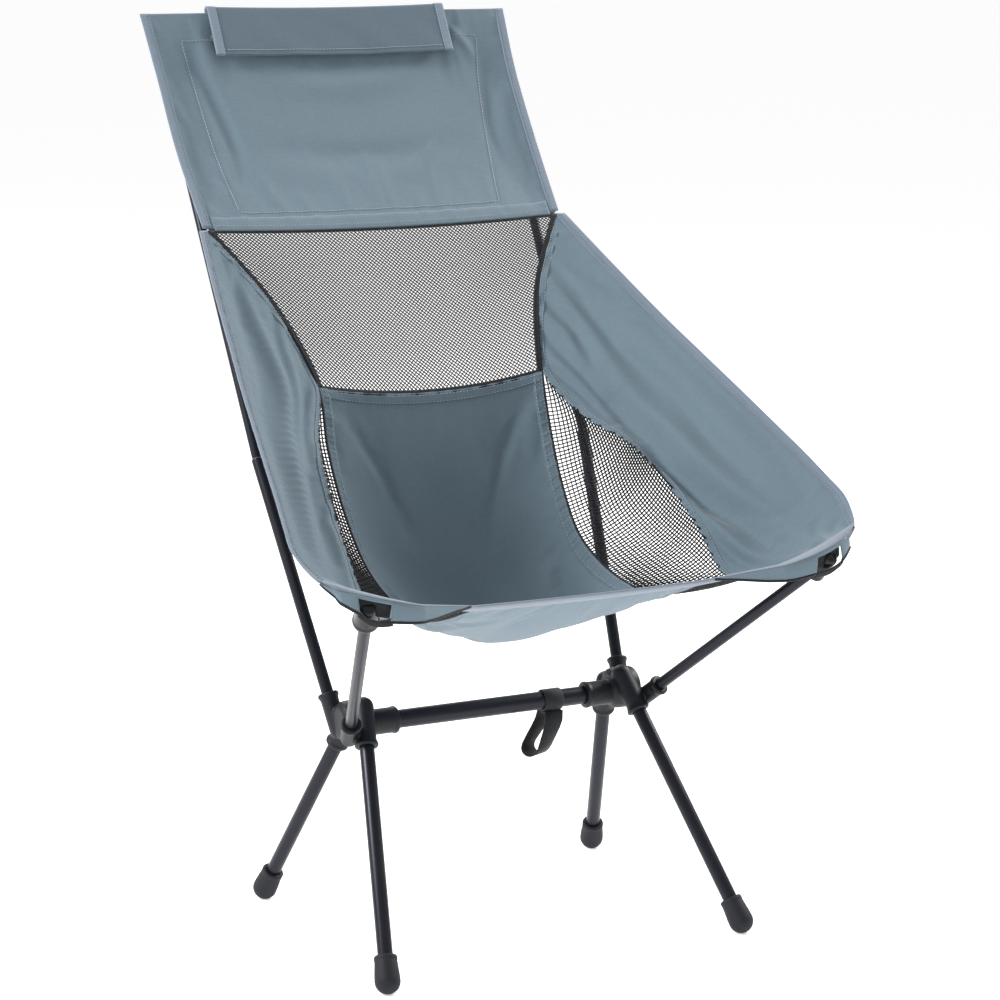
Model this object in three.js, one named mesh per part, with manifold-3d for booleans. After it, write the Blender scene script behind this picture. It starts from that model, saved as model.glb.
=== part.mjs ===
// Ultralight high-back camp chair: a shock-corded tube frame in two moulded hubs, and a sewn sling
// that hangs on the four pole tips. Millimetres, +Z up, the sitter faces -Y, mirror plane X = 0.
// Names ending in _right are on the +X side and names ending in _left on the -X side.
import * as THREE from "three";
import { mergeVertices } from "three/addons/utils/BufferGeometryUtils.js";
import Module from "manifold-3d";

const wasm = await Module();
wasm.setup();

const vec = (x, y, z) => new THREE.Vector3(x, y, z);

// ---------- driving dimensions ----------
const DEPTH_CENTRE = 86; // how far the middle of the whole chair lies behind the crossbar
const BAR_HEIGHT = 232.5; // crossbar axis above the floor
const SIDES = 24; // facets around a tube
const COARSE_SIDES = 16; // facets around a moulded or rubber fitting
const FIT = 0.3; // clearance between a tube and what holds it

const BAR = { radius: 10, bore: 8.8, halfLength: 148 };
const SLEEVE = { start: 114, radius: 14, lipRadius: 15, lipLength: 4 };
const HUB_WEB = { inner: 146, outer: 180, radius: 23, y: 2, z: 236 };

const LEG = { radius: 8, bore: 6.9, insertion: 40, socket: 11.2, socketLength: 57 };
const SEAT_POLE = { radius: 6.4, bore: 5.5, insertion: 36, socket: 9.8, socketLength: 48 };
const BACK_POLE = { radius: 6.65, bore: 5.85, insertion: 36, socket: 9.9, socketLength: 52 };
const UPPER_POLE = { radius: 5.5, bore: 4.7 };
const COLLAR = { extra: 1.8, length: 5 }; // raised ring around each socket mouth
const CORD = { radius: 1.3, hole: 1.9, anchor: 6 };

const FOOT = { ballRadius: 13.5, ballHeight: 13, neckRadius: 10.8, neckLength: 26.5, seat: -2 };

// Where each tube leaves its socket, and where it ends. All on the +X side.
const FRONT_LEG = { mouth: vec(164.7, -36.9, 217), ball: vec(209.8, -185.5, FOOT.ballHeight) };
const REAR_LEG = { mouth: vec(164.2, 45.1, 200), ball: vec(207.3, 151.1, FOOT.ballHeight) };
const SEAT = { mouth: vec(186.2, -45.5, 247), tip: vec(263.9, -265, 425.7) };
const BACK = { mouth: vec(177, 38, 260), bend: vec(202, 168, 497), tip: vec(213, 438.5, 958) };

const FABRIC = 2; // thickness of the sling's panels
const TAPE = 10; // width of the binding tapes
const SEAM = 1.2; // how far a panel's edge stays back from its seam line
const WING_SEAM = 2.5; // the same along the wing's inner edge, where the panels meet at an angle

// The sling's long lines, each as points at eleven stations from the foot of the head panel down
// and forward to the front edge, on the +X side. centre: on the mirror plane. seam: side of the
// back mesh, then of the seat panel. mesh: outer edge of the side mesh (the seam itself where there
// is none). wing: outer edge. bow: how far the middle of the wing stands off the straight line from
// mesh to wing. slack: how far the middle of the side mesh bulges away from the sitter.
const STATIONS = {
  centre: [
    [0, 258, 733], [0, 205, 646], [0, 152, 559], [0, 129, 480], [0, 100, 405], [0, 60, 336],
    [0, 10, 310], [0, -50, 320], [0, -120, 348], [0, -209, 397], [0, -221, 403],
  ],
  seam: [
    [217, 266, 738], [166, 210, 661], [138, 147, 574], [137, 124, 510], [135, 91, 452], [133, 50, 407],
    [134, 8, 385], [135, -50, 371], [134, -125, 370], [131, -222, 402], [130, -232, 407],
  ],
  mesh: [
    [217, 266, 738], [166, 210, 661], [138, 147, 574], [162, 90, 528], [182, 30, 508], [192, -10, 487],
    [200, -48, 461], [205, -90, 430], [206, -150, 388], [207, -256, 420], [206, -270, 423],
  ],
  wing: [
    [227, 264, 738], [246, 175, 684], [263, 87, 634], [276, 24, 600], [289, -45, 564], [299, -100, 535],
    [306, -140, 514], [313, -178, 492], [317, -207, 475], [306, -243, 452], [293, -255, 445],
  ],
  bow: [
    [0, 0, 0], [0, 0, -2], [0, 0, -4], [0, 0, -5], [0, 0, -6], [0, 0, -6],
    [0, 0, -6], [0, 0, -5], [0, -2, -3], [0, -8, 0], [0, -9, 0],
  ],
  slack: [
    [0, 0, 0], [0, 0, 0], [0, 0, 0], [8, 3, -3], [14, 5, -5], [17, 6, -6],
    [17, 6, -6], [14, 4, -6], [8, 2, -4], [0, 0, 0], [0, 0, 0],
  ],
};
const LAST = 10; // station of the front edge
const MESH_FOOT = 2; // station where the back mesh ends and the seat panel begins
const HEM_START = 9; // station where the front hem begins
const PANEL_END = 8.97; // and where the panels end

// Head panel: points on its centre line and side edge, from the top edge down.
const HEAD = {
  centre: [vec(0, 433, 970), vec(0, 390, 901), vec(0, 330, 820), vec(0, 259.5, 735)],
  side: [vec(230, 433, 970), vec(226, 392, 901), vec(225, 336, 820), vec(221, 268, 740)],
};

const FLAP = {
  halfWidth: 150, front: 56, back: 32, stand: 4.2, fold: 3,
  top: vec(0, 433, 970), along: vec(0, 0.507, 0.862), out: vec(0, -0.862, 0.507),
};
// The gusset hangs below the front edge and passes just in front of the corner cup. Each row: how
// far out along the edge it is, how deep the gusset hangs there, and how far it stands forward.
const GUSSET = [
  [122, 5, 0.6], [150, 8, 0.6], [190, 12, 0.4], [215, 15, -1], [240, 19, -1.4], [250, 20, 0.6], [262, 20, 3.4],
  [272, 19, 6.4], [280, 16, 6], [290, 10, 2],
];
const STRAP = {
  start: 62, width: 22, eye: 10.3, thickness: 1.8, drop: 49, halfDepth: 13, turn: 25, lean: 20,
};

// ---------- materials ----------
const finish = (name, color, roughness, metalness = 0) =>
  new THREE.MeshStandardMaterial({ name, color, roughness, metalness });

const ANODISED = finish("anodised_tube", 0x3a3b44, 0.38, 0.8);
const BARE_ALLOY = finish("bare_alloy", 0xa9abb0, 0.35, 0.9);
const MOULDED = finish("moulded_nylon", 0x1b1e25, 0.55);
const RUBBER = finish("foot_rubber", 0x2d2d36, 0.75);
const CLOTH = finish("woven_polyester", 0x6f7f8b, 0.85);
const NET = finish("black_mesh", 0x25272b, 0.8);
const BINDING = finish("binding_tape", 0x8d9cb0, 0.8);
const WEBBING = finish("black_webbing", 0x1c1c1f, 0.8);
const ELASTIC = finish("elastic_cord", 0x202024, 0.85);

// ---------- geometry helpers ----------
// Leaves only merged positions and whole triangles, with the faces pointing out.
function closed(geometry) {
  const position = new THREE.BufferGeometry();
  position.setAttribute("position", geometry.getAttribute("position"));
  if (geometry.index) position.setIndex(geometry.index);
  const merged = mergeVertices(position, 1e-4);
  const index = merged.index.array;
  const kept = [];
  for (let i = 0; i < index.length; i += 3) {
    const [a, b, c] = [index[i], index[i + 1], index[i + 2]];
    if (a !== b && b !== c && c !== a) kept.push(a, b, c);
  }
  merged.setIndex(kept);
  return enclosedVolume(merged) < 0 ? turnedInsideOut(merged) : merged;
}

function enclosedVolume(geometry) {
  const p = geometry.getAttribute("position");
  const index = geometry.index.array;
  const [a, b, c] = [vec(0, 0, 0), vec(0, 0, 0), vec(0, 0, 0)];
  let total = 0;
  for (let i = 0; i < index.length; i += 3) {
    a.fromBufferAttribute(p, index[i]);
    b.fromBufferAttribute(p, index[i + 1]);
    c.fromBufferAttribute(p, index[i + 2]);
    total += a.dot(b.cross(c)) / 6;
  }
  return total;
}

function turnedInsideOut(geometry) {
  const index = Array.from(geometry.index.array);
  for (let i = 0; i < index.length; i += 3) [index[i], index[i + 1]] = [index[i + 1], index[i]];
  geometry.setIndex(index);
  return geometry;
}

const mirrored = (geometry) => closed(geometry.clone().scale(-1, 1, 1));

function toManifold(geometry) {
  const vertProperties = new Float32Array(geometry.getAttribute("position").array);
  const triVerts = new Uint32Array(geometry.index.array);
  return new wasm.Manifold(new wasm.Mesh({ numProp: 3, vertProperties, triVerts }));
}

function fromManifold(solid) {
  const mesh = solid.getMesh();
  const geometry = new THREE.BufferGeometry();
  geometry.setAttribute("position", new THREE.BufferAttribute(mesh.vertProperties, 3));
  geometry.setIndex(Array.from(mesh.triVerts));
  return closed(geometry);
}

// Joins the shapes of one list and cuts away those of another.
function carved(joined, removed) {
  let solid = toManifold(joined[0]);
  for (const shape of joined.slice(1)) solid = solid.add(toManifold(shape));
  for (const shape of removed) solid = solid.subtract(toManifold(shape));
  return fromManifold(solid);
}

// Revolves [radius, distance] pairs about the line that starts at "from" and runs along "direction".
function turned(profile, from, direction, sides = SIDES) {
  const points = profile.map(([radius, distance]) => new THREE.Vector2(radius, distance));
  const geometry = new THREE.LatheGeometry(points, sides);
  const turn = new THREE.Quaternion().setFromUnitVectors(vec(0, 1, 0), direction.clone().normalize());
  geometry.applyQuaternion(turn);
  geometry.translate(from.x, from.y, from.z);
  return closed(geometry);
}

function rod(from, to, radius, sides = SIDES) {
  const length = from.distanceTo(to);
  return turned([[0, 0], [radius, 0], [radius, length], [0, length]], from, to.clone().sub(from), sides);
}

function tube(from, to, radius, bore) {
  const length = from.distanceTo(to);
  const ring = [[bore, 0], [radius, 0], [radius, length], [bore, length], [bore, 0]];
  return turned(ring, from, to.clone().sub(from));
}

const heading = (from, to) => to.clone().sub(from).normalize();
const onward = (from, direction, distance) => from.clone().addScaledVector(direction, distance);

// A thin closed solid around a grid of points, half the thickness on each side.
function sheet(rows, thickness) {
  const [high, wide] = [rows.length, rows[0].length];
  const clampRow = (i) => rows[Math.min(Math.max(i, 0), high - 1)];
  const at = (i, j) => clampRow(i)[Math.min(Math.max(j, 0), wide - 1)];
  const positions = [];
  for (const side of [0.5, -0.5]) {
    for (let i = 0; i < high; i++) {
      for (let j = 0; j < wide; j++) {
        const down = at(i + 1, j).clone().sub(at(i - 1, j));
        const across = at(i, j + 1).clone().sub(at(i, j - 1));
        const normal = down.cross(across).normalize();
        const corner = onward(at(i, j), normal, side * thickness);
        positions.push(corner.x, corner.y, corner.z);
      }
    }
  }
  const front = (i, j) => i * wide + j;
  const back = (i, j) => high * wide + i * wide + j;
  const index = [];
  const quad = (a, b, c, d) => index.push(a, b, c, a, c, d);
  for (let i = 0; i + 1 < high; i++) {
    for (let j = 0; j + 1 < wide; j++) {
      quad(front(i, j), front(i, j + 1), front(i + 1, j + 1), front(i + 1, j));
      quad(back(i, j), back(i + 1, j), back(i + 1, j + 1), back(i, j + 1));
    }
    quad(front(i, 0), front(i + 1, 0), back(i + 1, 0), back(i, 0));
    quad(front(i, wide - 1), back(i, wide - 1), back(i + 1, wide - 1), front(i + 1, wide - 1));
  }
  for (let j = 0; j + 1 < wide; j++) {
    quad(front(0, j), back(0, j), back(0, j + 1), front(0, j + 1));
    quad(front(high - 1, j), front(high - 1, j + 1), back(high - 1, j + 1), back(high - 1, j));
  }
  const geometry = new THREE.BufferGeometry();
  geometry.setAttribute("position", new THREE.Float32BufferAttribute(positions, 3));
  geometry.setIndex(index);
  return closed(geometry);
}

// count + 1 evenly spaced numbers from a to b
const steps = (a, b, count) => Array.from({ length: count + 1 }, (_, i) => a + ((b - a) * i) / count);

// ---------- frame ----------
const chair = new THREE.Group();
chair.position.y = -DEPTH_CENTRE;

function add(name, geometry, material) {
  const mesh = new THREE.Mesh(geometry, material);
  mesh.name = name;
  chair.add(mesh);
}

function addPair(name, geometry, material) {
  add(`${name}_right`, geometry, material);
  add(`${name}_left`, mirrored(geometry), material);
}

// The sockets of one hub: where each starts, which way its tube leaves, and its sizes.
const SOCKETS = [
  { mouth: FRONT_LEG.mouth, out: heading(FRONT_LEG.mouth, FRONT_LEG.ball), tube: LEG },
  { mouth: REAR_LEG.mouth, out: heading(REAR_LEG.mouth, REAR_LEG.ball), tube: LEG },
  { mouth: SEAT.mouth, out: heading(SEAT.mouth, SEAT.tip), tube: SEAT_POLE },
  { mouth: BACK.mouth, out: heading(BACK.mouth, BACK.bend), tube: BACK_POLE },
];

// A boss along the socket, rounded at its closed end, with a collar at its mouth.
function socketBoss({ mouth, out, tube: size }) {
  const [r, end] = [size.socket, -size.socketLength];
  const collar = r + COLLAR.extra;
  const profile = [
    [0, end], [r * 0.6, end + r * 0.12], [r * 0.9, end + r * 0.5], [r, end + r],
    [r, -COLLAR.length - 1], [collar, -COLLAR.length], [collar, -1], [collar - 1, 0], [0, 0],
  ];
  return turned(profile, mouth, out, COARSE_SIDES);
}

// The space inside a socket: the tube's bore, then a narrow blind hole that anchors the shock cord.
function socketBore({ mouth, out, tube: size }) {
  const [bore, floor] = [size.radius + FIT, -size.insertion - FIT];
  const blind = floor - CORD.anchor;
  const profile = [[0, blind], [CORD.hole, blind], [CORD.hole, floor], [bore, floor], [bore, 1], [0, 1]];
  return turned(profile, mouth, out, COARSE_SIDES);
}

function hub() {
  const barAt = (x) => vec(x, 0, BAR_HEIGHT);
  const along = vec(1, 0, 0);
  const lip = [
    [0, 0], [SLEEVE.lipRadius - 1, 0], [SLEEVE.lipRadius, 1], [SLEEVE.lipRadius, SLEEVE.lipLength],
    [SLEEVE.radius, SLEEVE.lipLength + 1], [SLEEVE.radius, 40], [0, 40],
  ];
  const webEdge = HUB_WEB.radius - 4;
  const webLength = HUB_WEB.outer - HUB_WEB.inner;
  const web = [
    [0, 0], [webEdge, 0], [HUB_WEB.radius, 4], [HUB_WEB.radius, webLength - 4], [webEdge, webLength],
    [0, webLength],
  ];
  const joined = [
    turned(lip, barAt(SLEEVE.start), along, COARSE_SIDES),
    turned(web, vec(HUB_WEB.inner, HUB_WEB.y, HUB_WEB.z), along),
    ...SOCKETS.map(socketBoss),
  ];
  const barBore = rod(barAt(SLEEVE.start - 1), barAt(BAR.halfLength + 1), BAR.radius + FIT, COARSE_SIDES);
  return carved(joined, [barBore, ...SOCKETS.map(socketBore)]);
}

addPair("hub", hub(), MOULDED);
const barEnd = (side) => vec(side * BAR.halfLength, 0, BAR_HEIGHT);
add("crossbar", tube(barEnd(-1), barEnd(1), BAR.radius, BAR.bore), ANODISED);
add("crossbar_cord", rod(barEnd(-1), barEnd(1), CORD.radius, 8), ELASTIC);

// A rubber foot: a ball cut flat at the floor, and a neck that grips the leg's end.
function foot(ball, up) {
  const r = FOOT.ballRadius;
  const round = steps(-90, 0, 5).map(THREE.MathUtils.degToRad);
  const arc = round.map((a) => [Math.max(r * Math.cos(a), 0), r * Math.sin(a)]);
  arc[0][0] = 0;
  const [neck, top, bore] = [FOOT.neckRadius, FOOT.neckLength, LEG.radius + FIT];
  const profile = [
    ...arc, [r, 4], [r - 1.2, 9], [neck, 14], [neck, top - 1], [neck - 1, top],
    [bore, top], [bore, FOOT.seat], [0, FOOT.seat],
  ];
  const below = new THREE.BoxGeometry(60, 60, 20).translate(ball.x, ball.y, -10);
  return carved([turned(profile, ball, up, COARSE_SIDES)], [closed(below)]);
}

function addLeg(name, { mouth, ball }) {
  const out = heading(mouth, ball);
  const root = onward(mouth, out, -LEG.insertion);
  const end = onward(ball, out, -FOOT.seat - FIT);
  const anchor = onward(root, out, -CORD.anchor);
  const knot = onward(end, out, -2);
  addPair(name, tube(root, end, LEG.radius, LEG.bore), ANODISED);
  addPair(`${name}_foot`, foot(ball, out.clone().negate()), RUBBER);
  addPair(`${name}_cord`, rod(anchor, knot, CORD.radius, 8), ELASTIC);
}

addLeg("front_leg", FRONT_LEG);
addLeg("rear_leg", REAR_LEG);

// A plug in a pole's end with a domed head that bears in the sling's corner.
const CAP = { head: 4, plug: 12 };
function poleCap(tip, out, { radius, bore }) {
  const plug = bore - FIT;
  const neck = -CAP.head + FIT;
  const profile = [
    [0, -CAP.plug], [plug, -CAP.plug], [plug, neck], [radius + 0.2, neck], [radius + 0.2, -1.6],
    [radius * 0.75, -0.4], [0, 0],
  ];
  return turned(profile, tip, out, COARSE_SIDES);
}

function addSeatPole() {
  const { mouth, tip } = SEAT;
  const out = heading(mouth, tip);
  const root = onward(mouth, out, -SEAT_POLE.insertion);
  const end = onward(tip, out, -CAP.head);
  const anchor = onward(root, out, -CORD.anchor);
  const knot = onward(tip, out, -CAP.plug - 1);
  addPair("seat_pole", tube(root, end, SEAT_POLE.radius, SEAT_POLE.bore), ANODISED);
  addPair("seat_pole_cap", poleCap(tip, out, SEAT_POLE), MOULDED);
  addPair("seat_pole_cord", rod(anchor, knot, CORD.radius, 8), ELASTIC);
}

// The ferrule: a stepped spigot, set to the bend between the lower and the upper back pole.
const SPIGOT = { reach: 36, bore: 2.4, shoulder: 0.6 };
function spigot(bend, down, up) {
  const half = (start, radius) => [[0, start], [radius, start], [radius, SPIGOT.reach], [0, SPIGOT.reach]];
  const lower = turned(half(0, BACK_POLE.bore - FIT), bend, down, COARSE_SIDES);
  const upper = turned(half(-1, UPPER_POLE.bore - FIT), bend, up, COARSE_SIDES);
  const bores = [down, up].map((way) => rod(onward(bend, way, -1), onward(bend, way, 50), SPIGOT.bore, 8));
  return carved([lower, upper], bores);
}

function addBackPole() {
  const { mouth, bend, tip } = BACK;
  const [lowerWay, upperWay] = [heading(mouth, bend), heading(bend, tip)];
  const root = onward(mouth, lowerWay, -BACK_POLE.insertion);
  const lowerEnd = onward(bend, lowerWay, -SPIGOT.shoulder);
  const upperStart = onward(bend, upperWay, SPIGOT.shoulder);
  const upperEnd = onward(tip, upperWay, -CAP.head);
  const anchor = onward(root, lowerWay, -CORD.anchor);
  const knot = onward(tip, upperWay, -CAP.plug - 1);
  addPair("back_pole_lower", tube(root, lowerEnd, BACK_POLE.radius, BACK_POLE.bore), ANODISED);
  addPair("back_pole_upper", tube(upperStart, upperEnd, UPPER_POLE.radius, UPPER_POLE.bore), ANODISED);
  addPair("back_pole_spigot", spigot(bend, lowerWay.clone().negate(), upperWay), BARE_ALLOY);
  addPair("back_pole_cap", poleCap(tip, upperWay, UPPER_POLE), MOULDED);
  const cord = [rod(anchor, bend, CORD.radius, 8), rod(onward(bend, upperWay, -0.2), knot, CORD.radius, 8)];
  addPair("back_pole_cord", carved(cord, []), ELASTIC);
}

addSeatPole();
addBackPole();

// ---------- corner fittings ----------
// A bell-shaped moulded cup over the seat pole's tip, wider towards its mouth.
function cornerCup({ mouth, tip }) {
  const bore = SEAT_POLE.radius + 0.2 + FIT;
  const profile = [
    [0, 2.6], [5, 2.2], [8.4, 0], [9.4, -6], [11.2, -15], [12.8, -25], [13.6, -27], [13.6, -30],
    [11.6, -30], [10.8, -25], [9.2, -14], [bore, -7], [bore, FIT], [0, FIT],
  ];
  return turned(profile, tip, heading(mouth, tip), COARSE_SIDES);
}

// A webbing pocket behind the head panel's corner, closed over the upper pole's tip.
function cornerPocket({ bend, tip }) {
  const bore = UPPER_POLE.radius + 0.2 + FIT;
  const profile = [
    [0, 2.2], [5, 2], [7.6, 0.4], [8, -2], [8, -33], [bore, -33], [bore, FIT], [0, FIT],
  ];
  return turned(profile, tip, heading(bend, tip), COARSE_SIDES);
}

addPair("seat_corner_cup", cornerCup(SEAT), MOULDED);
addPair("back_corner_pocket", cornerPocket(BACK), WEBBING);

// ---------- sling ----------
const longLine = (points) => new THREE.CatmullRomCurve3(points.map((point) => vec(...point)));
const LINES = Object.fromEntries(Object.entries(STATIONS).map(([key, points]) => [key, longLine(points)]));
const onLine = (key, station) => LINES[key].getPoint(station / LAST);

const between = (a, b, f) => a.clone().lerp(b, f);
const inset = (from, to, distance) => onward(from, heading(from, to), distance);
const flipX = (point) => vec(-point.x, point.y, point.z);

// Across the middle, from the centre line (0) to the seam (1): it hangs like a chain.
function middle(station, f) {
  const [centre, seam] = [onLine("centre", station), onLine("seam", station)];
  const drop = f * f;
  return vec(seam.x * f, centre.y + (seam.y - centre.y) * drop, centre.z + (seam.z - centre.z) * drop);
}

// Across the side mesh, from the seam (0) to its outer edge (1).
function side(station, f) {
  const straight = between(onLine("seam", station), onLine("mesh", station), f);
  return straight.addScaledVector(onLine("slack", station), 4 * f * (1 - f));
}

// Across the wing, from the mesh edge (0) to the outer edge (1).
function wing(station, f) {
  const straight = between(onLine("mesh", station), onLine("wing", station), f);
  return straight.addScaledVector(onLine("bow", station), 4 * f * (1 - f));
}

const widthAt = (a, b, station) => onLine(a, station).distanceTo(onLine(b, station));

function middlePanel(first, last, count, edge) {
  return steps(first, last, count).map((station) => {
    const limit = 1 - edge / onLine("seam", station).x;
    return steps(-limit, limit, 8).map((f) => (f < 0 ? flipX(middle(station, -f)) : middle(station, f)));
  });
}

function sideMesh(first, last) {
  return steps(first, last, 16).map((station) => {
    const edge = SEAM / widthAt("seam", "mesh", station);
    return steps(edge, 1 - edge, 6).map((f) => side(station, f));
  });
}

function wingPanel(first, last) {
  return steps(first, last, 20).map((station) => {
    const width = widthAt("mesh", "wing", station);
    return steps(WING_SEAM / width, 1 - (TAPE + SEAM) / width, 5).map((f) => wing(station, f));
  });
}

function wingBinding(first, last) {
  return steps(first, last, 28).map((station) => {
    const width = widthAt("mesh", "wing", station);
    return [1 - TAPE / width, 1].map((f) => wing(station, f));
  });
}

function meshTape(first, last) {
  return steps(first, last, 8).map((station) => {
    const inner = 1 - TAPE / onLine("seam", station).x;
    return [inner, 1].map((f) => middle(station, f));
  });
}

// The whole width of one station, from the centre line (0) to the outer edge (3).
function across(station, f) {
  if (f <= 1) return middle(station, f);
  if (f <= 2) return side(station, f - 1);
  return wing(station, f - 2);
}

function frontHem() {
  const ends = steps(-3, 3, 24).map((f) => {
    const at = (station) => (f < 0 ? flipX(across(station, -f)) : across(station, f));
    return [inset(at(HEM_START), at(LAST), SEAM), at(LAST)];
  });
  return [ends.map((pair) => pair[0]), ends.map((pair) => pair[1])];
}

// A fabric flap that hangs from the front edge, from the seat's belly out past the corner cup.
function frontGusset() {
  const edge = steps(1, 3, 400).map((f) => across(LAST, f));
  const shape = new THREE.CatmullRomCurve3(GUSSET.map((row) => vec(...row)));
  const columns = shape.getPoints(27).map(({ x, y: depth, z: forward }) => {
    const top = edge.reduce((best, point) => (Math.abs(point.x - x) < Math.abs(best.x - x) ? point : best));
    return (f) => vec(x, top.y - forward, top.z - 2.5 - depth * f);
  });
  return steps(0, 1, 4).map((f) => columns.map((column) => column(f)));
}

const headLine = (points) => new THREE.CatmullRomCurve3(points);
const HEAD_CENTRE = headLine(HEAD.centre);
const HEAD_SIDE = headLine(HEAD.side);

// Across the head panel, from the centre line (0) to the side edge (1).
function head(down, f) {
  const [centre, side] = [HEAD_CENTRE.getPoint(down), HEAD_SIDE.getPoint(down)];
  const drop = f * f;
  return vec(side.x * f, centre.y + (side.y - centre.y) * drop, centre.z + (side.z - centre.z) * drop);
}

function headPanel() {
  return steps(0, 0.99, 8).map((down) => {
    const limit = 1 - (TAPE + SEAM) / HEAD_SIDE.getPoint(down).x;
    return steps(-limit, limit, 8).map((f) => (f < 0 ? flipX(head(down, -f)) : head(down, f)));
  });
}

function headBinding() {
  return steps(0, 0.99, 8).map((down) => {
    const inner = 1 - TAPE / HEAD_SIDE.getPoint(down).x;
    return [inner, 1].map((f) => head(down, f));
  });
}

const FIRST_ROW = 0.03; // just below the head panel's foot
const cloth = (rows) => sheet(rows, FABRIC);

add("head_panel", cloth(headPanel()), CLOTH);
addPair("head_binding", cloth(headBinding()), BINDING);
add("back_mesh", cloth(middlePanel(FIRST_ROW, MESH_FOOT - 0.02, 8, TAPE + SEAM)), NET);
addPair("mesh_tape", cloth(meshTape(FIRST_ROW, MESH_FOOT - 0.02)), WEBBING);
add("seat_panel", cloth(middlePanel(MESH_FOOT + 0.02, PANEL_END, 20, SEAM)), CLOTH);
addPair("side_mesh", cloth(sideMesh(MESH_FOOT + 0.3, PANEL_END)), NET);
addPair("wing", cloth(wingPanel(0.25, PANEL_END)), CLOTH);
addPair("wing_binding", cloth(wingBinding(FIRST_ROW, PANEL_END)), BINDING);
add("front_hem", cloth(frontHem()), BINDING);
addPair("front_gusset", cloth(frontGusset()), CLOTH);

// ---------- headrest flap ----------
// A point beside the head panel's top edge: "up" along the panel, "off" towards the sitter.
const flapPoint = (up, off) => onward(onward(FLAP.top, FLAP.along, up), FLAP.out, off);

// The flap's section swept across its width.
function flapLayer(section) {
  return section.map(([up, off]) => {
    const point = flapPoint(up, off);
    return steps(-FLAP.halfWidth, FLAP.halfWidth, 6).map((x) => vec(x, point.y, point.z));
  });
}

function flapBack() {
  const fold = steps(0, 180, 6).map(THREE.MathUtils.degToRad);
  const arc = fold.map((a) => [FLAP.fold + FLAP.stand * Math.sin(a), FLAP.stand * Math.cos(a)]);
  return flapLayer([...arc, [-FLAP.back / 2, -FLAP.stand - 0.4], [-FLAP.back, -FLAP.stand - 0.8]]);
}

function flapFront() {
  const top = FLAP.fold - 2 * FIT;
  return flapLayer(steps(top, -FLAP.front, 4).map((up) => [up, FLAP.stand]));
}

add("headrest_flap_back", cloth(flapBack()), CLOTH);
add("headrest_flap_front", cloth(flapFront()), CLOTH);

// ---------- strap ----------
// A webbing loop sewn around the crossbar, with a drop-shaped loop that leans and turns below it.
function strapLoop() {
  const outer = STRAP.eye + STRAP.thickness;
  const neck = -outer - 1;
  const bottom = -outer - STRAP.drop + STRAP.halfDepth;
  const inside = STRAP.halfDepth - STRAP.thickness;
  const radians = THREE.MathUtils.degToRad;
  const outline = new THREE.Shape();
  outline.absarc(0, 0, outer, radians(-20), radians(200), false);
  const loop = new THREE.Path();
  loop.moveTo(0, neck);
  for (const s of steps(0, 1, 6)) {
    outline.lineTo(-STRAP.halfDepth, -outer / 2 + (bottom + outer / 2) * s);
    loop.lineTo(-8 - (inside - 8) * s, neck - 2 + (bottom - neck + 2) * s);
  }
  outline.absarc(0, bottom, STRAP.halfDepth, Math.PI, 2 * Math.PI, false);
  loop.absarc(0, bottom, inside, Math.PI, 2 * Math.PI, false);
  for (const s of steps(1, 0, 6)) {
    outline.lineTo(STRAP.halfDepth, -outer / 2 + (bottom + outer / 2) * s);
    loop.lineTo(8 + (inside - 8) * s, neck - 2 + (bottom - neck + 2) * s);
  }
  outline.holes.push(new THREE.Path().absarc(0, 0, STRAP.eye, 0, 2 * Math.PI, true), loop);
  const options = { depth: STRAP.width, bevelEnabled: false, curveSegments: 10, steps: 2 };
  const geometry = new THREE.ExtrudeGeometry(outline, options);
  // the outline's x, y and depth become the chair's y, z and x
  geometry.applyMatrix4(new THREE.Matrix4().makeBasis(vec(0, 1, 0), vec(0, 0, 1), vec(1, 0, 0)));
  geometry.translate(-STRAP.width / 2, 0, 0);
  const position = geometry.getAttribute("position");
  for (let i = 0; i < position.count; i++) {
    const point = vec(0, 0, 0).fromBufferAttribute(position, i);
    const share = THREE.MathUtils.smoothstep(neck - point.z, 0, STRAP.drop);
    point.applyAxisAngle(vec(0, 0, 1), radians(STRAP.turn) * share).x -= STRAP.lean * share;
    position.setXYZ(i, point.x, point.y, point.z);
  }
  geometry.translate(STRAP.start + STRAP.width / 2, 0, BAR_HEIGHT);
  return closed(geometry);
}

add("strap_loop", strapLoop(), WEBBING);

chair.updateMatrixWorld(true);
export default chair;
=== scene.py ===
import math
from contextlib import contextmanager

import bmesh
import bpy
import numpy as np
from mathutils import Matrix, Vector


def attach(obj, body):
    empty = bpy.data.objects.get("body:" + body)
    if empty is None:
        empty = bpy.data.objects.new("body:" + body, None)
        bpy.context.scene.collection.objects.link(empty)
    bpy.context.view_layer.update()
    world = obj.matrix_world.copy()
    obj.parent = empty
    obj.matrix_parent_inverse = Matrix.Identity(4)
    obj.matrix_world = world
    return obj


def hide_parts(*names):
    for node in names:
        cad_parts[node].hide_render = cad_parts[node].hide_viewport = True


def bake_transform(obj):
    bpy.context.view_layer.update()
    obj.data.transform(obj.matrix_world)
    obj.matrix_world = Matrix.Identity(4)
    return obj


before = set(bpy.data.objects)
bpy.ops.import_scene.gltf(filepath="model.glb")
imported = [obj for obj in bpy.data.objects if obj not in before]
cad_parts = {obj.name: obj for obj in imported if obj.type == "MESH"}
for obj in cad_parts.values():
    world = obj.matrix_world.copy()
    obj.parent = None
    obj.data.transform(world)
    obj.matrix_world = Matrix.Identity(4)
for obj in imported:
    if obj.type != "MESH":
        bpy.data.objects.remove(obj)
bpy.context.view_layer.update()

MM = 0.001
DEPTH_CENTRE = 86  # mm, how far the middle of the whole chair lies behind the crossbar


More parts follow.
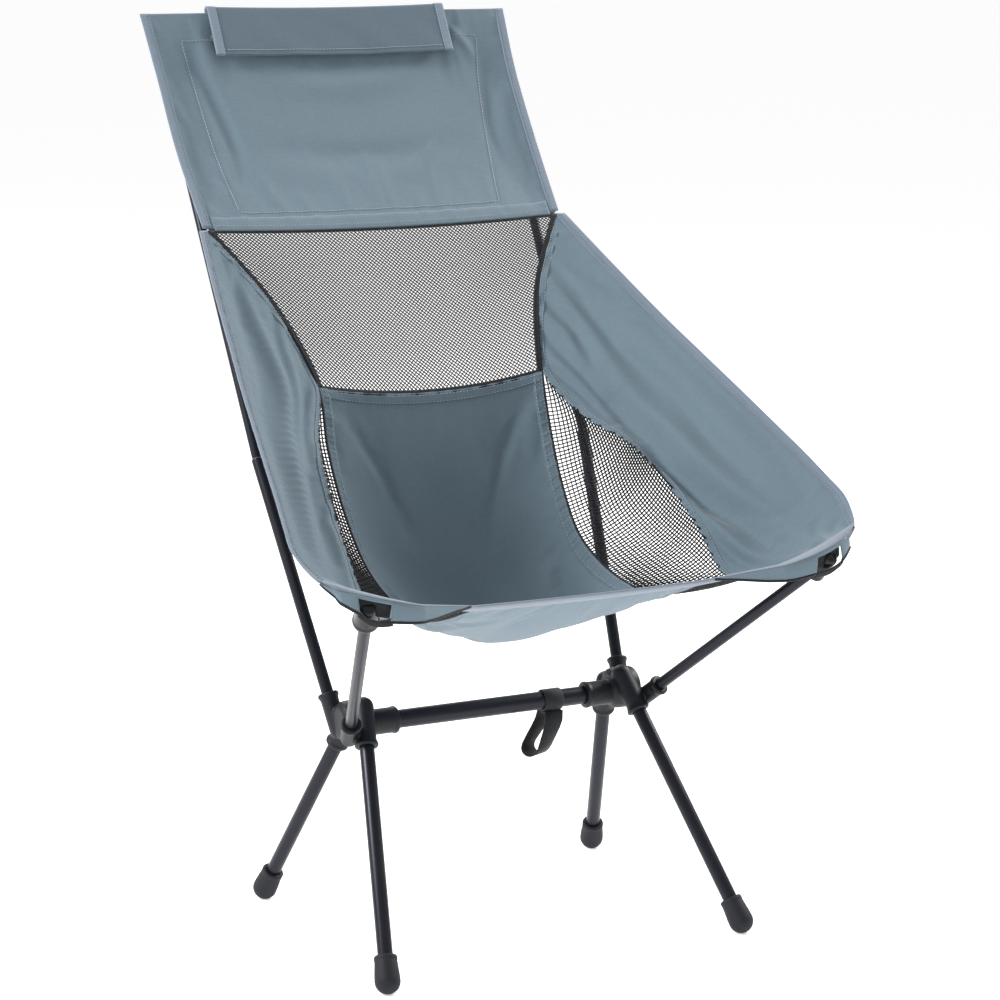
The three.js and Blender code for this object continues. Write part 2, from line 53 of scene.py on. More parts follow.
def added(name, data):
    """A new object in the scene that holds the data."""
    made = bpy.data.objects.new(name, data)
    bpy.context.scene.collection.objects.link(made)
    return made


# ---------- camera ----------
AZIMUTH, ELEVATION = math.radians(-26.546), math.radians(11.073)
EYE = (-1.40786, -2.92635, 1.08298)
LENS = 108  # mm, on a sensor 36 mm wide


def make_camera():
    camera = added("camera", bpy.data.cameras.new("camera"))
    level = math.cos(ELEVATION)
    back = Vector((math.sin(AZIMUTH) * level, -math.cos(AZIMUTH) * level, math.sin(ELEVATION)))
    camera.location = EYE
    camera.rotation_mode = "QUATERNION"
    camera.rotation_quaternion = (-back).to_track_quat("-Z", "Y")
    camera.data.lens = LENS
    camera.data.sensor_width = 36
    camera.data.clip_start, camera.data.clip_end = 0.05, 100
    bpy.context.scene.camera = camera


make_camera()


# ---------- materials ----------
def linear(red, green, blue):
    """A colour given as screen values from 0 to 255, as scene values."""
    shares = [value / 255 for value in (red, green, blue)]
    return [s / 12.92 if s <= 0.04045 else ((s + 0.055) / 1.055) ** 2.4 for s in shares]


class Shader:
    """A material's node tree, with short calls for the few nodes that the materials here use."""

    def __init__(self, name, roughness, metallic=0.0, **sockets):
        self.material = bpy.data.materials.new(name)
        self.material.use_nodes = True
        self.tree = self.material.node_tree
        self.surface = self.tree.nodes["Principled BSDF"]
        self.surface.inputs["Roughness"].default_value = roughness
        self.surface.inputs["Metallic"].default_value = metallic
        for socket, value in sockets.items():
            self.surface.inputs[socket.replace("_", " ")].default_value = value

    def node(self, kind, **settings):
        made = self.tree.nodes.new(kind)
        for key, value in settings.items():
            setattr(made, key, value)
        return made

    def link(self, source, target):
        self.tree.links.new(source, target)

    def place(self, output, stretch=(1, 1, 1)):
        """Texture coordinates: UV or Object, in metres times stretch."""
        mapping = self.node("ShaderNodeMapping")
        mapping.inputs["Scale"].default_value = stretch
        self.link(self.node("ShaderNodeTexCoord").outputs[output], mapping.inputs["Vector"])
        return mapping.outputs["Vector"]

    def noise(self, place, scale, detail=3.0):
        made = self.node("ShaderNodeTexNoise")
        made.inputs["Scale"].default_value = scale
        made.inputs["Detail"].default_value = detail
        made.inputs["Roughness"].default_value = 0.55
        self.link(place, made.inputs["Vector"])
        return made.outputs["Fac"]

    def math(self, operation, a, b=0.0):
        made = self.node("ShaderNodeMath", operation=operation)
        for socket, value in zip(made.inputs, (a, b)):
            if isinstance(value, (int, float)):
                socket.default_value = value
            else:
                self.link(value, socket)
        return made.outputs["Value"]

    def spread(self, value, low, high, start=0.0):
        """Turns a value that runs from start to 1 into one that runs from low to high."""
        made = self.node("ShaderNodeMapRange")
        made.inputs["From Min"].default_value = start
        made.inputs["To Min"].default_value = low
        made.inputs["To Max"].default_value = high
        self.link(value, made.inputs["Value"])
        return made.outputs["Result"]

    def weave(self, thread):
        """A plain weave in UV space: 0 in the gaps and 1 on the crowns of the threads."""
        apart = self.node("ShaderNodeSeparateXYZ")
        self.link(self.place("UV"), apart.inputs["Vector"])
        turn = math.pi / thread
        across = self.math("SINE", self.math("MULTIPLY", apart.outputs["X"], turn))
        along = self.math("SINE", self.math("MULTIPLY", apart.outputs["Y"], turn))
        return self.spread(self.math("MULTIPLY", across, along), 0.0, 1.0, -1.0)

    def ribs(self, axis, pitch):
        """Parallel ribs in UV space, a pitch apart along the axis X or Y."""
        apart = self.node("ShaderNodeSeparateXYZ")
        self.link(self.place("UV"), apart.inputs["Vector"])
        wave = self.math("SINE", self.math("MULTIPLY", apart.outputs[axis], 2 * math.pi / pitch))
        return self.spread(wave, 0.0, 1.0, -1.0)

    def colour(self, middle, contrast, value):
        """Mixes a darker and a lighter shade of one colour by the value."""
        made = self.node("ShaderNodeMix", data_type="RGBA")
        made.inputs["A"].default_value = (*scaled(middle, 1 - contrast), 1)
        made.inputs["B"].default_value = (*scaled(middle, 1 + contrast), 1)
        self.link(value, made.inputs["Factor"])
        self.link(made.outputs["Result"], self.surface.inputs["Base Color"])

    def bump(self, height, distance, strength=1.0):
        made = self.node("ShaderNodeBump")
        made.inputs["Distance"].default_value = distance
        made.inputs["Strength"].default_value = strength
        self.link(height, made.inputs["Height"])
        previous = self.surface.inputs["Normal"].links
        if previous:
            self.link(previous[0].from_socket, made.inputs["Normal"])
        self.link(made.outputs["Normal"], self.surface.inputs["Normal"])


def scaled(colour, factor):
    return [channel * factor for channel in colour]


def woven(name, colour, thread, contrast=0.17, bump=0.00012):
    """Plain woven cloth: fine weave, faint uneven dye and a soft sheen."""
    shader = Shader(name, 0.82, Sheen_Weight=0.25, Sheen_Roughness=0.45, Specular_IOR_Level=0.3)
    weave = shader.weave(thread)
    dye = shader.noise(shader.place("Object"), 9.0)
    slub = shader.noise(shader.place("UV", (1, 5, 1)), 90.0, 4.0)
    fibre = shader.math("MULTIPLY", shader.noise(shader.place("UV", (5, 1, 1)), 120.0, 4.0), slub)
    mixed = shader.math("ADD", shader.math("MULTIPLY", weave, 0.35), shader.math("MULTIPLY", dye, 0.3))
    mixed = shader.math("ADD", mixed, shader.math("MULTIPLY", fibre, 1.2))
    shader.colour(colour, contrast, mixed)
    shader.bump(weave, bump)
    shader.bump(shader.noise(shader.place("Object"), 160.0, 2.0), bump * 2, 0.5)
    return shader.material


def webbing(name, colour, pitch):
    """Narrow woven tape: ribs across its length and fine threads along it."""
    shader = Shader(name, 0.72, Sheen_Weight=0.2, Sheen_Roughness=0.4, Specular_IOR_Level=0.35)
    ribs = shader.ribs("Y", pitch)
    threads = shader.ribs("X", pitch * 0.55)
    mixed = shader.math("ADD", shader.math("MULTIPLY", ribs, 0.6), shader.math("MULTIPLY", threads, 0.4))
    shader.colour(colour, 0.25, mixed)
    shader.bump(mixed, 0.00018)
    return shader.material


def anodised(name, colour, roughness):
    """Satin anodised alloy with faint drawing lines along the tube."""
    shader = Shader(name, roughness, metallic=0.85, Specular_IOR_Level=0.5)
    drawn = shader.noise(shader.place("UV", (900, 12, 1)), 1.0, 3.0)
    cloud = shader.noise(shader.place("Object"), 22.0, 3.0)
    shader.colour(colour, 0.14, shader.math("MULTIPLY", drawn, cloud))
    shader.link(shader.spread(cloud, roughness - 0.06, roughness + 0.08), shader.surface.inputs["Roughness"])
    shader.bump(drawn, 0.00001, 0.6)
    return shader.material


def moulded(name, colour, roughness, grain, depth):
    """Moulded plastic or rubber with a fine sparked grain."""
    shader = Shader(name, roughness, Specular_IOR_Level=0.35)
    place = shader.place("Object")
    fine = shader.noise(place, grain, 2.0)
    cloud = shader.noise(place, 35.0, 3.0)
    shader.colour(colour, 0.2, cloud)
    shader.link(shader.spread(cloud, roughness - 0.07, roughness + 0.09), shader.surface.inputs["Roughness"])
    shader.bump(fine, depth)
    return shader.material


CLOTH_COLOUR = linear(103, 121, 132)
FLAP_COLOUR = linear(88, 104, 115)
TAPE_COLOUR = linear(117, 130, 144)
HEM_COLOUR = linear(124, 134, 146)
THREAD_COLOUR = linear(158, 169, 182)
BLACK_NET = linear(18, 19, 22)
BLACK_TAPE = linear(24, 26, 31)
STRAP_COLOUR = linear(24, 25, 28)
TUBE_COLOUR = linear(46, 47, 53)
NYLON_COLOUR = linear(15, 17, 24)
RUBBER_COLOUR = linear(25, 26, 33)

CLOTH = woven("woven_polyester", CLOTH_COLOUR, 0.0007)
FLAP_CLOTH = woven("woven_polyester_flap", FLAP_COLOUR, 0.0007)
HEM_CLOTH = woven("woven_polyester_hem", scaled(CLOTH_COLOUR, 0.97), 0.0007, contrast=0.12)
BINDING = woven("binding_tape", TAPE_COLOUR, 0.0010, contrast=0.14, bump=0.0002)
FRONT_BINDING = woven("front_binding_tape", HEM_COLOUR, 0.0010, contrast=0.12, bump=0.0002)
THREAD = woven("sewing_thread", THREAD_COLOUR, 0.0004)
TAPE_THREAD = woven("tape_thread", scaled(TAPE_COLOUR, 0.6), 0.0004)
BLACK_THREAD = woven("black_thread", scaled(BLACK_TAPE, 2.2), 0.0004)
NET = moulded("black_mesh", BLACK_NET, 0.75, 900.0, 0.00005)
BLACK_BINDING = webbing("black_tape", BLACK_TAPE, 0.0016)
WEBBING = webbing("black_webbing", STRAP_COLOUR, 0.0022)
ANODISED = anodised("anodised_tube", TUBE_COLOUR, 0.36)
BARE_ALLOY = anodised("bare_alloy", linear(168, 171, 176), 0.32)
MOULDED = moulded("moulded_nylon", NYLON_COLOUR, 0.5, 1500.0, 0.00004)
GLOSSY = moulded("moulded_nylon_polished", scaled(NYLON_COLOUR, 0.8), 0.24, 900.0, 0.00001)
RUBBER = moulded("foot_rubber", RUBBER_COLOUR, 0.66, 1100.0, 0.00006)
ELASTIC = webbing("elastic_cord", linear(32, 32, 36), 0.0012)


# ---------- geometry helpers ----------
def unit(vectors):
    return vectors / np.maximum(np.linalg.norm(vectors, axis=-1, keepdims=True), 1e-12)


def in_frame(points):
    """Points given in millimetres from the crossbar's middle, in the chair's frame in metres."""
    return (np.array(points, float) - (0, DEPTH_CENTRE, 0)) * MM


def spline(points, t, even=False):
    """A centripetal Catmull-Rom line through the points, at shares t from 0 to 1 of its spans."""
    points = np.asarray(points, float)
    padded = np.vstack([2 * points[0] - points[1], points, 2 * points[-1] - points[-2]])
    place = np.clip(np.asarray(t, float), 0, 1) * (len(points) - 1)
    span = np.minimum(place.astype(int), len(points) - 2)
    w = (place - span)[..., None]
    p0, p1, p2, p3 = (padded[span + k] for k in range(4))

    def knot(a, b):
        if even:
            return np.ones(a.shape[:-1])[..., None]
        return np.maximum(np.sum((b - a) ** 2, -1, keepdims=True), 1e-12) ** 0.25

    d0, d1, d2 = knot(p0, p1), knot(p1, p2), knot(p2, p3)
    t1 = ((p1 - p0) / d0 - (p2 - p0) / (d0 + d1) + (p2 - p1) / d1) * d1
    t2 = ((p2 - p1) / d1 - (p3 - p1) / (d1 + d2) + (p3 - p2) / d2) * d1
    c2, c3 = 3 * (p2 - p1) - 2 * t1 - t2, 2 * (p1 - p2) + t1 + t2
    return p1 + w * (t1 + w * (c2 + w * c3))


def arc_length(points):
    steps = np.linalg.norm(np.diff(points, axis=0), axis=-1)
    return np.concatenate([[0.0], np.cumsum(steps)])


def grid_normals(points):
    down = np.gradient(points, axis=0)
    across = np.gradient(points, axis=1)
    return unit(np.cross(down, across))


def grid_faces(rows, columns, wrap_rows=False, wrap_columns=False):
    """Quads over a grid of vertices, and for each corner its place in the unwrapped grid."""
    i, j = np.meshgrid(
        np.arange(rows if wrap_rows else rows - 1),
        np.arange(columns if wrap_columns else columns - 1),
        indexing="ij",
    )
    corners = np.stack([i, j, i, j + 1, i + 1, j + 1, i + 1, j], -1).reshape(-1, 4, 2)
    faces = (corners[..., 0] % rows) * columns + corners[..., 1] % columns
    return faces, corners


@contextmanager
def edited(mesh):
    """The mesh as an editable one, written back at the end of the with block."""
    work = bmesh.new()
    work.from_mesh(mesh)
    yield work
    work.to_mesh(mesh)
    work.free()


def shaped(name, vertices, faces, corner_uvs, material, closed=True, sharp=math.radians(50)):
    """A mesh object from arrays, with merged poles, outward faces and smooth shading."""
    mesh = bpy.data.meshes.new(name)
    mesh.from_pydata(np.asarray(vertices, float).tolist(), [], [list(map(int, f)) for f in faces])
    layer = mesh.uv_layers.new(name="UVMap")
    layer.data.foreach_set("uv", np.asarray(corner_uvs, np.float32).ravel())
    with edited(mesh) as work:
        bmesh.ops.remove_doubles(work, verts=work.verts, dist=1e-7)
        if closed:
            bmesh.ops.recalc_face_normals(work, faces=work.faces)
    mesh.materials.append(material)
    mesh.shade_smooth()
    if sharp:
        mesh.set_sharp_from_angle(angle=sharp)
    return added(name, mesh)


def swept(name, rings, uv_across, material, wrap_path=False):
    """A closed skin over rings of points, one ring for each step of a path, with flat ends."""
    rows, columns = rings.shape[:2]
    faces, corners = grid_faces(rows, columns, wrap_path, True)
    lengths = arc_length(np.vstack([rings.mean(1), rings.mean(1)[:1]]))
    across = np.append(uv_across, uv_across[-1] + abs(uv_across[1] - uv_across[0]))
    uvs = np.stack([across[corners[..., 1]], lengths[corners[..., 0]]], -1).reshape(-1, 2)
    faces = faces.tolist()
    if not wrap_path:
        for ring, first in ((0, 0), (rows - 1, (rows - 1) * columns)):
            faces.append([first + k for k in range(columns)])
            cap = np.stack([uv_across, np.full(columns, lengths[ring])], -1)
            uvs = np.vstack([uvs, cap])
    return shaped(name, rings.reshape(-1, 3), faces, uvs, material, sharp=None)


def joined_tubes(name, paths, normals, radius, sides, material, taper=None):
    """Many thin tubes in one mesh, each around a path with a normal at each of its points."""
    vertices, faces, uvs = [], [], []
    first = 0
    turn = (np.arange(sides) + 0.5) * 2 * math.pi / sides
    for path, normal in zip(paths, normals):
        tangent = unit(np.gradient(path, axis=0))
        side = unit(np.cross(tangent, normal))
        up = np.cross(side, tangent)
        size = radius * (np.ones(len(path)) if taper is None else np.asarray(taper))
        spread = np.cos(turn)[None, :, None] * up[:, None] + np.sin(turn)[None, :, None] * side[:, None]
        ring = path[:, None] + size[:, None, None] * spread
        quads, corners = grid_faces(len(path), sides, wrap_columns=True)
        lengths = arc_length(path)
        vertices.append(ring.reshape(-1, 3))
        faces.extend((quads + first).tolist())
        uvs.append(np.stack([corners[..., 1] * radius, lengths[corners[..., 0]]], -1).reshape(-1, 2))
        for start in (first, first + (len(path) - 1) * sides):
            faces.append([start + k for k in range(sides)])
            uvs.append(np.zeros((sides, 2)))
        first += len(path) * sides
    return shaped(name, np.vstack(vertices), faces, np.vstack(uvs), material, sharp=None)


def filleted(profile, radius):
    """The [radius, distance] outline with its corners rounded."""
    profile = np.asarray(profile, float)
    points = [profile[0]]
    for before, corner, after in zip(profile, profile[1:], profile[2:]):
        reach_in = min(radius, 0.45 * np.linalg.norm(corner - before))
        reach_out = min(radius, 0.45 * np.linalg.norm(after - corner))
        start = corner + unit(before - corner) * reach_in
        end = corner + unit(after - corner) * reach_out
        for t in (0.0, 0.33, 0.67, 1.0):
            points.append((1 - t) ** 2 * start + 2 * t * (1 - t) * corner + t * t * end)
    points.append(profile[-1])
    return np.array(points)


def basis(direction):
    """Two unit vectors square to a direction."""
    direction = unit(np.asarray(direction, float))
    helper = np.array((0.0, 0.0, 1.0)) if abs(direction[2]) < 0.9 else np.array((1.0, 0.0, 0.0))
    side = unit(np.cross(direction, helper))
    return side, np.cross(direction, side)


def turned(name, profile, start, direction, material, sides=48, sharp=math.radians(50)):
    """Revolves a [radius, distance] profile, in metres, about the line from start along direction."""
    profile = np.asarray(profile, float)
    direction = unit(np.asarray(direction, float))
    side, up = basis(direction)
    angle = np.arange(sides) * 2 * math.pi / sides
    around = np.cos(angle)[:, None] * side + np.sin(angle)[:, None] * up
    rings = start + profile[:, 1, None, None] * direction + profile[:, 0, None, None] * around
    closes = np.allclose(profile[0], profile[-1])
    if closes:
        rings = rings[:-1]
    faces, corners = grid_faces(len(rings), sides, closes, True)
    lengths = arc_length(profile)
    mean = float(profile[:, 0].mean())
    uvs = np.stack([corners[..., 1] * mean * 2 * math.pi / sides, lengths[corners[..., 0]]], -1)
    return shaped(name, rings.reshape(-1, 3), faces.tolist(), uvs.reshape(-1, 2), material, sharp=sharp)


def cleaned(made):
    """Leaves out the collapsed faces that poles leave behind."""
    with edited(made.data) as work:
        bmesh.ops.dissolve_degenerate(work, dist=1e-7, edges=work.edges)
    return made


def placed(made, body="root", replaces=()):
    """Puts a finished piece on its body, and hides the CAD nodes it stands for."""
    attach(made, body)
    if replaces:
        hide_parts(*replaces)
    return made


SIDES = {"right": 1, "left": -1}


def on_side(points, sign):
    return np.asarray(points, float) * (sign, 1, 1)


# ---------- tube frame ----------
BAR_HEIGHT = 232.5
FIT = 0.3
BAR = {"radius": 10, "bore": 8.8, "half": 148}
SLEEVE = {"start": 114, "radius": 14, "lip": 15, "lip_length": 4}
WEB = {"inner": 146, "outer": 180, "radius": 23, "y": 2, "z": 236}
LEG = {"radius": 8, "bore": 6.9, "insertion": 40, "socket": 11.2, "socket_length": 57}
SEAT_POLE = {"radius": 6.4, "bore": 5.5, "insertion": 36, "socket": 9.8, "socket_length": 48}
BACK_POLE = {"radius": 6.65, "bore": 5.85, "insertion": 36, "socket": 9.9, "socket_length": 52}
UPPER_POLE = {"radius": 5.5, "bore": 4.7}
COLLAR = {"extra": 1.8, "length": 5}
CAP = {"head": 4, "plug": 12}
CORD_RADIUS, CORD_HOLE, CORD_ANCHOR = 1.3, 1.9, 6
FRONT_LEG = {"mouth": (164.7, -36.9, 217), "ball": (209.8, -185.5, 13)}
REAR_LEG = {"mouth": (164.2, 45.1, 200), "ball": (207.3, 151.1, 13)}
SEAT = {"mouth": (186.2, -45.5, 247), "tip": (263.9, -265, 425.7)}
BACK = {"mouth": (177, 38, 260), "bend": (202, 168, 497), "tip": (213, 438.5, 958)}
FOOT = {"ball": 13.5, "neck": 10.8, "length": 26.5, "seat": -2}


def point(place, sign=1):
    return on_side(in_frame(place), sign)


def heading(start, end):
    return unit(np.asarray(end, float) - np.asarray(start, float))


def in_metres(profile):
    return np.asarray(profile, float) * MM


def tube(name, start, end, size):
    """An open tube with slightly rounded ends."""
    length = np.linalg.norm(end - start) / MM
    r, bore = size["radius"], size["bore"]
    outline = [(bore, length / 2), (bore, 0), (r, 0), (r, length), (bore, length), (bore, length / 2)]
    profile = filleted(outline, 0.5)
    return turned(name, in_metres(profile), start, end - start, ANODISED)


def shock_cord(name, start, end):
    length = np.linalg.norm(end - start) / MM
    outline = [(0, 0), (CORD_RADIUS, 0), (CORD_RADIUS, length), (0, length)]
    profile = in_metres(filleted(outline, 0.5))
    return cleaned(turned(name, profile, start, end - start, ELASTIC, sides=16))


def sockets(sign):
    """Each socket of one hub: its mouth, the way its tube leaves, and its sizes."""
    rows = [
        (FRONT_LEG["mouth"], FRONT_LEG["ball"], LEG),
        (REAR_LEG["mouth"], REAR_LEG["ball"], LEG),
        (SEAT["mouth"], SEAT["tip"], SEAT_POLE),
        (BACK["mouth"], BACK["bend"], BACK_POLE),
    ]
    placed_rows = [(point(mouth, sign), point(end, sign), size) for mouth, end, size in rows]
    return [(mouth, heading(mouth, end), size) for mouth, end, size in placed_rows]


def boss_profile(size):
    r, end = size["socket"], -size["socket_length"]
    dome = [(r * math.sin(a), end + r - r * math.cos(a)) for a in np.linspace(0, math.pi / 2, 7)]
    ring = r + COLLAR["extra"]
    back = -COLLAR["length"]
    bead = [(r, back - 1.6), (ring - 0.5, back + 0.4), (ring, -3), (ring - 0.2, -1), (ring - 1.2, 0)]
    return [*dome, *bead, (0, 0)]


def bore_profile(size):
    bore, floor = size["radius"] + FIT, -size["insertion"] - FIT
    blind = floor - CORD_ANCHOR
    return [(0, blind), (CORD_HOLE, blind), (CORD_HOLE, floor), (bore, floor), (bore, 4), (0, 4)]


def apply_modifiers(made):
    evaluated = made.evaluated_get(bpy.context.evaluated_depsgraph_get())
    mesh = bpy.data.meshes.new_from_object(evaluated)
    made.modifiers.clear()
    made.data = mesh
    return made


def merged_parts(name, parts):
    """Several meshes as one object."""
    work = bmesh.new()
    for part in parts:
        work.from_mesh(part.data)
        bpy.data.objects.remove(part)
    mesh = bpy.data.meshes.new(name)
    work.to_mesh(mesh)
    work.free()
    return added(name, mesh)


def hub(name, sign):
    """The moulded hub: bosses around a web, melted together, with its bores cut afterwards."""
    along = np.array((sign, 0.0, 0.0))
    sleeve_mouth = point((SLEEVE["start"], 0, BAR_HEIGHT), sign)
    web_start = point((WEB["inner"], WEB["y"], WEB["z"]), sign)
    lip = SLEEVE["lip"]
    sleeve = [
        (0, 0), (lip - 1.4, 0), (lip, 1.2), (lip, SLEEVE["lip_length"]),
        (SLEEVE["radius"], SLEEVE["lip_length"] + 1.4), (SLEEVE["radius"], 44), (0, 44),
    ]
    length, radius = WEB["outer"] - WEB["inner"], WEB["radius"]
    web = [(0, 0), (radius - 7, 0), (radius - 1.5, 3.5), (radius, 9), (radius, length - 9)]
    web += [(radius - 1.5, length - 3.5), (radius - 7, length), (0, length)]
    parts = [turned("sleeve", in_metres(sleeve), sleeve_mouth, along, MOULDED)]
    parts.append(turned("web", in_metres(web), web_start, along, MOULDED))
    for mouth, out, size in sockets(sign):
        parts.append(turned("boss", in_metres(boss_profile(size)), mouth, out, MOULDED))
    made = merged_parts(name, parts)
    remesh = made.modifiers.new("melt", "REMESH")
    remesh.mode = "VOXEL"
    remesh.voxel_size = 1.1 * MM
    ease = made.modifiers.new("ease", "SMOOTH")
    ease.factor, ease.iterations = 0.5, 7
    apply_modifiers(made)
    bore, depth = BAR["radius"] + FIT, BAR["half"] + 1 - SLEEVE["start"]
    bar = [(0, -2), (bore, -2), (bore, depth), (0, depth)]
    cutters = [turned("bore", in_metres(bar), sleeve_mouth, along, MOULDED)]
    for mouth, out, size in sockets(sign):
        cutters.append(turned("bore", in_metres(bore_profile(size)), mouth, out, MOULDED))
    for cutter in cutters:
        cut = made.modifiers.new("cut", "BOOLEAN")
        cut.operation, cut.solver, cut.object = "DIFFERENCE", "EXACT", cutter
    apply_modifiers(made)
    for cutter in cutters:
        bpy.data.objects.remove(cutter)
    made.data.materials.clear()
    made.data.materials.append(MOULDED)
    made.data.shade_smooth()
    made.data.set_sharp_from_angle(angle=math.radians(42))
    return made


def foot(name, ball, up):
    """A rubber foot, cut flat where it stands, with a raised lip around its mouth."""
    r, neck, top = FOOT["ball"], FOOT["neck"], FOOT["length"]
    bore = LEG["radius"] + FIT
    outline = [(r * math.cos(a), r * math.sin(a)) for a in np.linspace(-math.pi / 2, 0.1, 13)]
    outline += [(r - 0.2, 5), (r - 0.6, 10), (neck + 1.5, 16), (neck + 1.2, 20.5), (neck + 1.1, 21)]
    outline += [(neck + 1.4, 21.8), (neck + 1.4, top - 1.4)]
    outline += [(neck + 0.6, top - 0.2), (neck - 0.6, top), (bore, top)]
    outline += [(bore, FOOT["seat"]), (0, FOOT["seat"])]
    made = turned(name, in_metres(outline), ball, up, RUBBER, sharp=math.radians(60))
    with edited(made.data) as work:
        geometry = [*work.verts, *work.edges, *work.faces]
        plane = {"plane_co": (0, 0, 0), "plane_no": (0, 0, -1)}
        cut = bmesh.ops.bisect_plane(work, geom=geometry, clear_outer=True, **plane)
        rim = [e for e in cut["geom_cut"] if isinstance(e, bmesh.types.BMEdge)]
        bmesh.ops.contextual_create(work, geom=rim)
        bmesh.ops.recalc_face_normals(work, faces=work.faces)
    return made


def pole_cap(name, tip, out, size):
    plug, neck, r = size["bore"] - FIT, -CAP["head"] + FIT, size["radius"] + 0.2
    outline = [(0, -CAP["plug"]), (plug, -CAP["plug"]), (plug, neck), (r, neck)]
    outline += [(r, -1.6), (r * 0.75, -0.4), (0, 0)]
    return cleaned(turned(name, in_metres(filleted(outline, 0.8)), tip, out, MOULDED))


def make_leg(kind, ends, side, sign):
    mouth, ball = point(ends["mouth"], sign), point(ends["ball"], sign)
    out = heading(mouth, ball)
    root, end = mouth - out * LEG["insertion"] * MM, ball - out * (FOOT["seat"] + FIT) * MM
    body = f"{kind}_{side}"
    placed(tube(f"{kind}_tube_{side}", root, end, LEG), body, [f"{kind}_{side}"])
    placed(foot(f"{kind}_rubber_foot_{side}", ball, -out), body, [f"{kind}_foot_{side}"])
    cord = shock_cord(f"{kind}_shock_cord_{side}", root - out * CORD_ANCHOR * MM, end - out * 2 * MM)
    placed(cord, "root", [f"{kind}_cord_{side}"])


def make_seat_pole(side, sign):
    mouth, tip = point(SEAT["mouth"], sign), point(SEAT["tip"], sign)
    out = heading(mouth, tip)
    root, end = mouth - out * SEAT_POLE["insertion"] * MM, tip - out * CAP["head"] * MM
    pole = tube(f"seat_pole_tube_{side}", root, end, SEAT_POLE)
    placed(pole, "root", [f"seat_pole_{side}"])
    cap = pole_cap(f"seat_pole_end_cap_{side}", tip, out, SEAT_POLE)
    placed(cap, "root", [f"seat_pole_cap_{side}"])
    knot = tip - out * (CAP["plug"] + 1) * MM
    cord = shock_cord(f"seat_pole_shock_cord_{side}", root - out * CORD_ANCHOR * MM, knot)
    placed(cord, "root", [f"seat_pole_cord_{side}"])


SPIGOT_SHOULDER = 0.6


def make_back_pole(side, sign):
    mouth, bend, tip = (point(BACK[key], sign) for key in ("mouth", "bend", "tip"))
    lower, upper = heading(mouth, bend), heading(bend, tip)
    root = mouth - lower * BACK_POLE["insertion"] * MM
    lower_end, upper_start = bend - lower * SPIGOT_SHOULDER * MM, bend + upper * SPIGOT_SHOULDER * MM
    upper_end = tip - upper * CAP["head"] * MM
    spans = {"lower": (root, lower_end, BACK_POLE), "upper": (upper_start, upper_end, UPPER_POLE)}
    for part, (start, end, size) in spans.items():
        pole = tube(f"back_pole_{part}_tube_{side}", start, end, size)
        placed(pole, "root", [f"back_pole_{part}_{side}"])
    cap = pole_cap(f"back_pole_end_cap_{side}", tip, upper, UPPER_POLE)
    placed(cap, "root", [f"back_pole_cap_{side}"])


def make_frame():
    half = BAR["half"]
    bar = tube("crossbar_tube", point((-half, 0, BAR_HEIGHT)), point((half, 0, BAR_HEIGHT)), BAR)
    placed(bar, "root", ["crossbar"])
    for side, sign in SIDES.items():
        placed(hub(f"hub_moulding_{side}", sign), "root", [f"hub_{side}"])
        make_leg("front_leg", FRONT_LEG, side, sign)
        make_leg("rear_leg", REAR_LEG, side, sign)
        make_seat_pole(side, sign)
        make_back_pole(side, sign)


make_frame()


# ---------- corner fittings ----------
def corner_cup(name, sign):
    """The bell-shaped cup over the seat pole's tip."""
    tip = point(SEAT["tip"], sign)
    out = heading(point(SEAT["mouth"], sign), tip)
    bore = SEAT_POLE["radius"] + 0.2 + FIT
    outline = [
        (0, 2.6), (5, 2.2), (8.2, 0.2), (9.4, -6), (11.0, -15), (12.4, -24), (13.6, -26.6), (13.6, -30),
        (11.6, -30), (10.8, -25), (9.2, -14), (bore, -7), (bore, FIT), (0, FIT),
    ]
    return cleaned(turned(name, in_metres(filleted(outline, 1.6)), tip, out, GLOSSY))


def corner_pocket(name, sign):
    """The webbing pocket over the upper pole's tip, behind the head panel's corner."""
    bend, tip = point(BACK["bend"], sign), point(BACK["tip"], sign)
    bore = UPPER_POLE["radius"] + 0.2 + FIT
    outline = [(0, 2.2), (5, 2), (7.6, 0.4), (8, -2), (8, -33), (bore, -33), (bore, FIT), (0, FIT)]
    return cleaned(turned(name, in_metres(filleted(outline, 1.0)), tip, heading(bend, tip), WEBBING))


for side, sign in SIDES.items():
    cup, pocket = corner_cup(f"corner_cup_{side}", sign), corner_pocket(f"corner_pocket_{side}", sign)
    placed(cup, "root", [f"seat_corner_cup_{side}"])
    placed(pocket, "root", [f"back_corner_pocket_{side}"])


# ---------- sling: its lines and surfaces ----------
# The same lines as the CAD model's, in millimetres from the crossbar's middle, on the +X side.
STATION_LINES = {
    "centre": [
        (0, 258, 733), (0, 205, 646), (0, 152, 559), (0, 129, 480), (0, 100, 405), (0, 60, 336),
        (0, 10, 310), (0, -50, 320), (0, -120, 348), (0, -209, 397), (0, -221, 403),
    ],
    "seam": [
        (217, 266, 738), (166, 210, 661), (138, 147, 574), (137, 124, 510), (135, 91, 452), (133, 50, 407),
        (134, 8, 385), (135, -50, 371), (134, -125, 370), (131, -222, 402), (130, -232, 407),
    ],
    "mesh": [
        (217, 266, 738), (166, 210, 661), (138, 147, 574), (162, 90, 528), (182, 30, 508), (192, -10, 487),
        (200, -48, 461), (205, -90, 430), (206, -150, 388), (207, -256, 420), (206, -270, 423),
    ],
    "wing": [
        (227, 264, 738), (246, 175, 684), (263, 87, 634), (276, 24, 600), (289, -45, 564), (299, -100, 535),
        (306, -140, 514), (313, -178, 492), (317, -207, 475), (306, -243, 452), (293, -255, 445),
    ],
}
